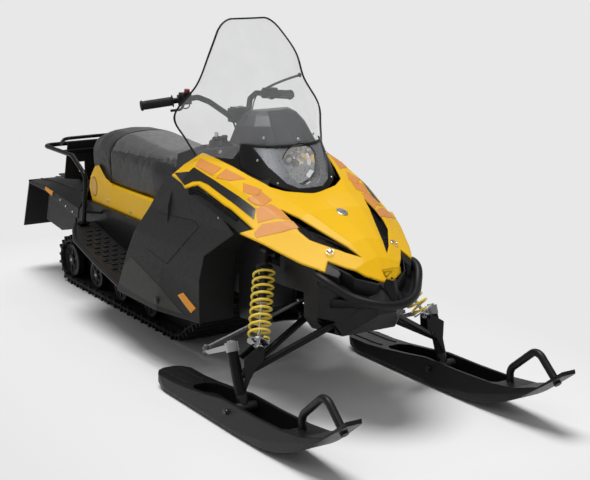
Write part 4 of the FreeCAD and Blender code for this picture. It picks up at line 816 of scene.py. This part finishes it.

# Between the hood's lower edge and the nose guard's rail: a recess, near black as painted shade, with a frame
# round it on each side.
NOSE_EDGE = [(236, 4), (222, 32), (192, 68), (146, 110), (99, 147)]
NOSE_RAIL = [(284, 4, 440), (270, 60, 441), (238, 108, 451), (196, 148, 472), (150, 183, 502),
             (110, 194, 520)]
LIP_IN, LIP_DROP = 0.985, 0.006
RECESS = Vector((-0.045, 0, 0))
FRAME_SHARES = [k / 6 for k in range(7)]  # how far each column of a frame sinks into the recess
lip = [hood_below(x * LIP_IN, y * LIP_IN, 560) - UP * LIP_DROP for x, y in NOSE_EDGE]
nose, frames = [], []
for flip in (1, -1):
    high = spline(on_side(lip, flip), 6)
    low = spline(stations(NOSE_RAIL, flip), 6)
    low = [low[round(i * (len(low) - 1) / (len(high) - 1))] for i in range(len(high))]
    halfway = [a.lerp(b, 0.5) + RECESS * 1.2 for a, b in zip(high, low)]
    nose.append(lattice([high, [p + RECESS for p in high], halfway, [p + RECESS * 0.7 for p in low], low]))
    for start, shares in ((0, FRAME_SHARES), (len(high) - 7, FRAME_SHARES[::-1])):
        frames.append(lattice([[high[start + k].lerp(low[start + k], t / 4) + RECESS * (0.9 * share ** 3)
                                for k, share in enumerate(shares)] for t in range(5)]))
mesh_piece("nose_recess", nose, look="dark")
mesh_piece("nose_frames", frames)

guard = surface_of("front_bumper")
TIP = [(241, -38, 552), (241, 38, 552), (250, 34, 532), (258, 18, 519), (262, 0, 513), (258, -18, 519),
       (250, -34, 532)]
tip_way = unit(0.95, 0, 0.3)
tip = [cast(guard, p, tip_way, 0.05) + Vector((0.006, 0, 0.002)) for p in stations(TIP)]
mesh_piece("hood_tip", [slab(tip, 0.003)], "body_yellow")

# ---- handlebar controls
BAR_BEND, BAR_END = stations([(-857, 131, 1018), (-930, 333, 991)])
bar_way = (BAR_END - BAR_BEND).normalized()
GRIP_LENGTH, RIB_FROM, RIB_PITCH, RIBS = 0.118, 0.006, 0.0062, 17
GRIP_RIB = [(16.6, 0), (18.2, 0.8), (18.2, 2.6), (16.6, 3.4)]
GRIP_FLANGE = [(17, 0), (23.5, 1), (23.5, 4), (17, 6)]
GRIP_CAP = [(17.5, -4), (20.5, -2), (20.5, 3), (15, 7), (4, 8)]
controls = []
for flip in (1, -1):
    inner, outer = on_side([BAR_END - bar_way * GRIP_LENGTH, BAR_END + bar_way * 0.003], flip)
    way = (outer - inner).normalized()
    controls += [turned(inner + way * (RIB_FROM + RIB_PITCH * k), way, GRIP_RIB) for k in range(RIBS)]
    controls += [turned(inner - way * 0.001, way, GRIP_FLANGE), turned(outer, way, GRIP_CAP)]
mesh_piece("grip_ribs", controls, "grip_rubber", body="handlebar")

up = unit(0.1, 0, 1)
BUTTON = [(11, 0), (11, 8), (9.5, 11), (4, 12), (1, 12)]
BUTTON_BASE = [(14, 0), (15, 16), (13, 22), (3, 22)]
LEVER_PIVOT = [(13, -6), (14.5, 2), (14.5, 6), (12, 9), (3, 9)]
LEVER_END = [(4, -5), (9, 0), (9, 6), (4, 9)]
THUMB = [(-852, -172, 1004), (-838, -180, 986), (-842, -196, 980), (-854, -204, 988), (-860, -206, 1000)]
BLADE = [(-846, 168, 1034), (-826, 204, 1054), (-808, 250, 1072), (-797, 296, 1085)]
mesh_piece("kill_switch", [turned(at(-858, -178, 1042), up, BUTTON)], "red", body="handlebar")
mesh_piece("throttle_thumb_loop", [tube(spline(stations(THUMB), 8), 2.4)], body="handlebar")
blade = spline(stations(BLADE), 8)
switches = [turned(at(-858, -178, 1020), up, BUTTON_BASE)]
switches += [turned(place, up, LEVER_PIVOT) for place in stations([(-846, 182, 1026), (-868, 186, 1014)])]
switches += [tube(blade, 9.5, around=12, flat=0.5),
             turned(blade[-1], (blade[-1] - blade[-2]).normalized(), LEVER_END)]
mesh_piece("brake_details", switches, body="handlebar")

# Cables run along the bar from each control and go down beside the column, into the console.
CABLE_R = 2.6
CABLE = [(-846, 166, 1022), (-845, 128, 1024), (-826, 96, 1000), (-778, 54, 958), (-757, 34, 934),
         (-748, 25, 898)]
CABLE_FOOT = [(-736, 22, 851), (-706, 22, 776)]
cables = []
for flip, lift, out in ((1, 0.0, 0.0), (1, 0.006, 0.008), (-1, 0.0, 0.0), (-1, 0.007, 0.008)):
    line = [p + Vector((out, out * 0.5, -lift)) for p in stations(CABLE)]
    line += [p + Vector((0, out * 0.4, 0)) for p in stations(CABLE_FOOT)]
    cables.append(tube(spline(on_side(line, flip), 7), CABLE_R, around=8))
mesh_piece("control_cables", cables, "grip_rubber", body="handlebar")
cap = stations([(-790, -26, 972), (-752, -26, 972), (-744, 0, 972), (-752, 26, 972), (-790, 26, 972)])
mesh_piece("clamp_cap", [slab(cap, 0.009)], body="handlebar")
heads = [screw(at(x, y, 981), UP, 5.5) for x in (-782, -756) for y in (-17, 17)]
mesh_piece("clamp_bolts", heads, "steel", body="handlebar")

# ---- side panels: hatch, lower facet and latch; the grooves are painted shade and the facet painted light
sides = surface_of("side_panel_left", "side_panel_right")
PANEL_Y = -365  # beside the right panel; what is laid on it is cast in from there
# Each groove is a thin near-black strip on the panel, painted shade in the groove: x and z of its ends, width
# in millimetres.
GROOVES = [((-783, 596), (-521, 612), 1.6), ((-521, 612), (-484, 594), 1.6), ((-484, 594), (-545, 541), 2.0),
           ((-545, 541), (-584, 505), 4.5), ((-592, 498), (-628, 466), 4.5), ((-634, 461), (-681, 419), 4.5),
           ((-681, 419), (-842, 447), 1.6)]
# The lower facet: a flat lighter patch on the panel, painted light where the facet's tilt is not modelled.
PAINTED_LIGHT_FACET = [(-963, 390), (-712, 324), (-556, 250), (-900, 254), (-1060, 264), (-1046, 319)]
LATCH = [(15, -2), (15, 4), (12, 6), (4, 7)]
strips = []
for (x0, z0), (x1, z1), wide in GROOVES:
    across = unit(z0 - z1, 0, x1 - x0) * wide / 2
    ends = ((x0, z0, 1), (x1, z1, 1), (x1, z1, -1), (x0, z0, -1))
    strips += pair([(x + across.x * way, PANEL_Y, z + across.z * way) for x, z, way in ends])
patch("panel_grooves", strips, sides, "black_plastic", 0.0002, 0.0005, "dark")
skirt = pair([(x, PANEL_Y, z) for x, z in PAINTED_LIGHT_FACET])
patch("panel_painted_light_facets", skirt, sides, "grey_plastic", 0.0003, 0.0012, "skirt", fine=0.02)
latch = []
for flip in (1, -1):
    out = Vector((0, flip, 0))
    latch.append(turned(cast(sides, at(-720, 385 * flip, 272), out), out, LATCH))
mesh_piece("panel_latches", latch)

# ---- wheels of the track carriage
# station, height and radius of each wheel, and the distance of its outer face from the centre line
WHEELS = [(-2095, 114, 84, 169), (-1260, 92, 62, 162), (-1560, 92, 62, 162), (-1825, 96, 66, 162)]
# Profiles as a share of the wheel's radius, and height in millimetres.
RIM = [(0.99, -4), (0.99, 1), (0.95, 3), (0.84, 3), (0.8, 0), (0.8, -4)]
HUB = [(0.31, -4), (0.31, 3), (0.25, 6), (0.14, 6), (0.13, 4)]
HOLE = [(0.15, 0), (0.15, 0.6), (0.1, 0.6)]
SPOKES, SPOKE_FROM, SPOKE_TO, HOLE_AT = 6, 0.28, 0.76, 0.53
hubs, holes, bolts = [], [], []
for x, z, radius, face_y in WHEELS:
    r = radius / 1000
    rim, hub, hole = ([(share * radius, h) for share, h in profile] for profile in (RIM, HUB, HOLE))
    for flip in (1, -1):
        out = Vector((0, flip, 0))
        face = at(x, face_y * flip, z)
        u, v = frame_at(out)
        hubs += [turned(face, out, rim, 40, cap=False), turned(face, out, hub)]
        for a in angles(SPOKES):
            a += 0.1 * pi
            spoke = u * cos(a) + v * sin(a)
            side = out.cross(spoke) * 0.004
            foot, head = (face + spoke * r * share - out * 0.003 for share in (SPOKE_FROM, SPOKE_TO))
            hubs.append(slab([foot - side, head - side * 0.7, head + side * 0.7, foot + side], 0.0035))
            # Between the spokes: a near-black disc, painted shade where the wheel is open.
            gap = a + pi / SPOKES
            place = face - out * 0.0028 + (u * cos(gap) + v * sin(gap)) * r * HOLE_AT
            holes.append(turned(place, out, hole, 16))
        bolts.append(screw(face + out * 0.004, out, radius * 0.11))
mesh_piece("wheel_faces", hubs, look="wheel")
mesh_piece("wheel_holes", holes, look="dark")
mesh_piece("wheel_bolts", bolts, "steel")

# ---- track: a second row of lugs and inner rods
BELT_T, PITCHES = 8.0, 50
ROUGH_STEPS, RING_STEPS = 720, 2000
LUG_HEIGHT_FROM, LUG_Y_FROM = 18.0, 0.18  # points of the CAD track past both of these are on a lug
ROLLERS = [(-2095, 114, 84), (-1010, 180, 150), (-665, 318, 80), (-1480, 345, 45)]  # x, z and radius


def belt_path(offset, count):
    """Points, directions and outward ways, evenly spaced round the belt at an offset from its rollers."""
    rough = []
    for a in angles(ROUGH_STEPS):
        n = Vector((cos(a), sin(a)))
        x, z, r = max(ROLLERS, key=lambda c: c[0] * n.x + c[1] * n.y + c[2])
        rough.append(Vector((x, z)) + n * (r + offset))
    steps = [(b - a).length for a, b in zip(rough, rough[1:] + rough[:1])]
    total = sum(steps)
    made, walked, i = [], 0.0, 0
    for k in range(count):
        want = total * k / count
        while walked + steps[i] < want:
            walked += steps[i]
            i += 1
        a, b = rough[i], rough[(i + 1) % len(rough)]
        way = (b - a).normalized()
        made.append((a + way * (want - walked), way, Vector((way.y, -way.x))))
    return made


ring_of = belt_path(BELT_T, RING_STEPS)
pitch = RING_STEPS // PITCHES
tops = Vector((0, 0))
for vertex in NODES["track"].data.vertices:
    if abs(vertex.co.y) < LUG_Y_FROM:
        continue
    spot = Vector(((vertex.co.x - OX) * 1000, vertex.co.z * 1000))
    near = min(range(0, RING_STEPS, 4), key=lambda i: (ring_of[i][0] - spot).length)
    if (spot - ring_of[near][0]).dot(ring_of[near][2]) > LUG_HEIGHT_FROM:
        turn = 2 * pi * (near % pitch) / pitch
        tops += Vector((cos(turn), sin(turn)))
phase = round(atan2(tops.y, tops.x) / (2 * pi) * pitch)


def block(place, way, out, y0, y1, half_low, half_top, height):
    """A tapered block across the belt."""
    corners = ((-half_low, -2.0), (half_low, -2.0), (half_top, height), (-half_top, height))
    outline = [place + way * half + out * high for half, high in corners]
    return prism(*([at(p.x, y, p.y) for p in outline] for y in (y1, y0)))


# Blocks by where they start and end across the belt, half width at the foot and the top, and height.
LUGS = [(-189, -96, 8.0, 4.5, 17.0), (-62, 62, 8.0, 4.5, 17.0), (96, 189, 8.0, 4.5, 17.0)]
GUIDES = [(-189, -174, 7.0, 4.0, 9.0), (174, 189, 7.0, 4.0, 9.0), (-84, -60, 12.0, 4.0, 20.0),
          (60, 84, 12.0, 4.0, 20.0)]
treads, rods = [], []
for k in range(PITCHES):
    place, way, out = ring_of[(phase + pitch // 2 + k * pitch) % RING_STEPS]
    treads += [block(place, way, out, *lug) for lug in LUGS]
    place, way, out = ring_of[(phase + k * pitch) % RING_STEPS]
    rods += [block(place - out * BELT_T, -way, -out, *guide) for guide in GUIDES]
mesh_piece("track_treads", treads, "track_rubber", smooth=False)
mesh_piece("track_guides", rods, "track_rubber", smooth=False)

# ---- footboards: raised grips and drain slots
BOARD_X, BOARD_Y, BOARD_Z = -1106, 236, 240  # the first grip, and the board's height at BOARD_FOOT_X
BOARD_FOOT_X, BOARD_SLOPE = -1070, 122 / 590
ROW_PITCH, COLUMN_PITCH = 43, 40
NARROW_FROM_X, WIDE_Y, NARROW_Y = -1570, 352, 308
up = unit(BOARD_SLOPE, 0, 1)
along = Vector((0.0215, 0, -0.0215 * BOARD_SLOPE))
grips, drains = [], []
for row in range(13):
    x = BOARD_X - ROW_PITCH * row
    z = BOARD_Z + (BOARD_FOOT_X - x) * BOARD_SLOPE
    for column in range(4):
        y = BOARD_Y + COLUMN_PITCH * (column + row % 2 / 2)
        if y + 12 > (WIDE_Y if x > NARROW_FROM_X else NARROW_Y):
            continue
        for flip in (1, -1):
            low = [at(x + a, (y + b) * flip, z - BOARD_SLOPE * a)
                   for a, b in ((-7, -14), (7, -14), (7, 14), (-7, 14))]
            mid = sum(low, Vector()) / 4
            grips.append(prism(low, [mid + (p - mid) * 0.72 + up * 0.0055 for p in low]))
            # Each drain slot is a thin near-black slab on the board, painted shade where the slot is open.
            slot = [mid + (p - mid) * 0.8 + along + up * 0.0004 for p in low]
            drains.append(slab(slot[::flip], 0.0008))
mesh_piece("board_grips", grips, smooth=False)
mesh_piece("board_drains", drains, look="dark", smooth=False)

# ---- tail: ribs, rivets and plate bolts
tail_skin = surface_of("tail_cover")
ribs = [ridge(tail_skin, range(-2380, -1830, 50), y, 700, 5) for y in (-196, -120, 120, 196)]
mesh_piece("tail_ribs", ribs)
rivets = []
for x, z in ((-2023, 425), (-1955, 407), (-1878, 395), (-2120, 447)):
    for flip in (1, -1):
        rivets.append(screwed(tail_skin, at(x, 248 * flip, z), Vector((0, flip, 0)), 5))
rivets += [screw(at(-1980, y, 657), Vector((1, 0, 0)), 7) for y in (-182, -84, 84, 182)]
mesh_piece("tail_rivets", rivets, "steel")

# The seat base's oval recess, flat, its rim and floor darker as painted shade: look, half width, half height,
# lift and thickness of each layer.
base_skin = surface_of("seat_base")
for look, half_x, half_z, lift, thickness in (("recess_rim", 33, 46, 0.0002, 0.0006),
                                              ("recess", 27, 40, 0.0006, 0.0008)):
    oval = [(-1756 + half_x * cos(a), -150, 527 + half_z * sin(a)) for a in angles(28)]
    patch("base_" + look, pair(oval), base_skin, "body_yellow", lift, thickness, look)

# ---- closing walls, dash pod and ski fittings
KNEE = [(-690, 150, 826), (-690, 240, 812), (-696, 318, 742), (-706, 346, 640), (-712, 352, 500),
        (-690, 200, 470), (-660, 188, 600)]
walls = []
for flip in (1, -1):
    rim = stations(KNEE, flip)
    hub = sum(rim, Vector()) / len(rim) + Vector((0.012, 0, 0))
    rows = [[hub.lerp(p, share) for p in rim] for share in (0.02, 0.5, 0.85, 1.0)]
    verts, faces = lattice(rows, True)
    walls.append((verts, faces + [tuple(range(len(rim)))]))
mesh_piece("knee_walls", walls)

POD_FOOT = [(-650, -92), (-740, -92), (-748, -146), (-700, -160), (-642, -150)]
POD_LEVELS = [(1.06, 800), (1.0, 846), (0.93, 862), (0.8, 868), (0.3, 869)]  # size and height
POD_Z = 868
middle = sum((Vector(p) for p in POD_FOOT), Vector((0, 0))) / len(POD_FOOT)
rows = [[at(*(middle + (Vector(p) - middle) * size), z) for p in POD_FOOT] for size, z in POD_LEVELS]
mesh_piece("dash_pod", [capped(rows)], "grey_plastic")
up = unit(0.1, -0.15, 1)
SWITCH = [(19, -4), (19, 8), (16, 12), (10, 12), (9, 8)]
KNOB = [(13, -4), (11, 12), (14, 20), (12, 24), (3, 25)]
PLUG = [(9, -4), (9, 10), (6, 14), (3, 14)]
KEY = [(-0.011, 0, 0), (0.011, 0, 0), (0.013, 0, 0.02), (-0.013, 0, 0.02)]
dash = [turned(at(x, y, POD_Z), up, profile)
        for x, y, profile in ((-716, -126, SWITCH), (-664, -122, KNOB), (-690, -110, PLUG))]
mesh_piece("dash_controls", dash)
key = [at(-716, -126, POD_Z) + up * 0.011 + Vector(p) for p in KEY]
mesh_piece("ignition_key", [slab(key, 0.003)], "steel")

SKI_Y = 430
for side, flip in (("left", 1), ("right", -1)):
    skin = surface_of("ski_" + side)
    heads = [screwed(skin, at(0, SKI_Y * flip + 70 * way, 67), Vector((0, way, 0)), 9, 0.08)
             for way in (1, -1)]
    mesh_piece("ski_bolts_" + side, heads, "steel", body="ski_" + side)
    ribs = [ridge(skin, range(-536, -330, 24), SKI_Y * flip + y, 160, 4.5) for y in (-34, 34)]
    mesh_piece("ski_ribs_" + side, ribs, body="ski_" + side)

# ---- stage, light and camera


def aim(obj, target):
    obj.rotation_euler = (Vector(target) - obj.location).to_track_quat("-Z", "Y").to_euler()


def area_light(name, place, target, size, power):
    data = bpy.data.lights.new(name, "AREA")
    data.shape = "RECTANGLE"
    data.size, data.size_y = size
    data.energy = power
    light = placed(name, data)
    light.location = place
    aim(light, target)


FLOOR_GREY, FLOOR_HALF = (0.807, 0.807, 0.807), 60.0
SHADOW_HALF = (1.55, 0.6)  # the floor keeps its shading inside this half plan and fades to plain beyond it
SHADOW_FADE = (0.05, 0.6)


def make_floor():
    """Pale paper: it shows the object's shadow nearby, and further off it is as even as the backdrop."""
    mesh = bpy.data.meshes.new("floor")
    corners = [(x * FLOOR_HALF, y * FLOOR_HALF, 0) for x, y in ((-1, -1), (1, -1), (1, 1), (-1, 1))]
    mesh.from_pydata(corners, [], [(0, 1, 2, 3)])
    floor = placed("floor", mesh)
    s = Shader("floor_paper")
    tone = s.mix(s.noise(3.0, 3.0), shade(FLOOR_GREY, 0.99), shade(FLOOR_GREY, 1.01))
    s.set(Base_Color=tone, Roughness=0.95, Specular_IOR_Level=0.05)
    out = s.tree.nodes["Material Output"]
    glow = s.node("ShaderNodeEmission", {"Color": FLOOR_GREY + (1.0,), "Strength": 1.0})
    ray = s.node("ShaderNodeLightPath")
    seen = s.math("MAXIMUM", ray.outputs["Is Camera Ray"], ray.outputs["Is Glossy Ray"])
    seen = s.math("MAXIMUM", seen, ray.outputs["Is Transmission Ray"])
    beyond = [s.math("MAXIMUM", s.math("SUBTRACT", s.math("ABSOLUTE", s.axis(k)), SHADOW_HALF[k]), 0.0)
              for k in (0, 1)]
    far = s.math("SQRT", s.math("ADD", s.math("MULTIPLY", beyond[0], beyond[0]),
                                s.math("MULTIPLY", beyond[1], beyond[1])))
    plain = s.math("MULTIPLY", s.remap(far, 0.0, 1.0, SHADOW_FADE[0], SHADOW_FADE[1]), seen)
    both = s.node("ShaderNodeMixShader", {0: plain})
    s.put(both.inputs[1], s.bsdf.outputs[0])
    s.put(both.inputs[2], glow.outputs[0])
    s.put(out.inputs["Surface"], both.outputs[0])
    mesh.materials.append(s.mat)


make_floor()
world = bpy.data.worlds.new("studio")
bpy.context.scene.world = world
world.use_nodes = True
tree = world.node_tree
background = tree.nodes["Background"]
ray = tree.nodes.new("ShaderNodeLightPath")
shown = tree.nodes.new("ShaderNodeMixRGB")
shown.inputs["Color1"].default_value = (0.27, 0.27, 0.275, 1)
shown.inputs["Color2"].default_value = FLOOR_GREY + (1,)
tree.links.new(ray.outputs["Is Camera Ray"], shown.inputs["Fac"])
tree.links.new(shown.outputs["Color"], background.inputs["Color"])
background.inputs["Strength"].default_value = 1.0

centre = Vector((0.3, 0.0, 0.5))
sun = placed("overhead", bpy.data.lights.new("overhead", "SUN"))
sun.data.energy = 2.5
sun.data.angle = radians(32)
sun.location = (-0.75, -0.35, 5.0)
aim(sun, (0, 0, 0))
area_light("key", (3.0, -2.6, 3.6), centre, (2.6, 2.0), 14)
area_light("back", (-4.5, 3.0, 3.0), centre, (3.0, 2.0), 20)

FOCAL_PX, PHOTO_WIDTH_PX, SENSOR = 1330.7, 590.0, 36.0  # the photograph's, and the sensor in mm
CAMERA_TURN, CAMERA_DOWN = 147.88, 13.07  # degrees
camera = placed("camera", bpy.data.cameras.new("camera"))
camera.data.sensor_width = SENSOR
camera.data.lens = FOCAL_PX * SENSOR / PHOTO_WIDTH_PX
camera.location = (3.717 + OX, -2.557, 1.647)
camera.rotation_euler = (radians(90 - CAMERA_DOWN), 0.0, radians(CAMERA_TURN - 90))
camera.data.clip_end = 200.0
bpy.context.scene.camera = camera
bpy.context.scene.view_settings.view_transform = "Standard"
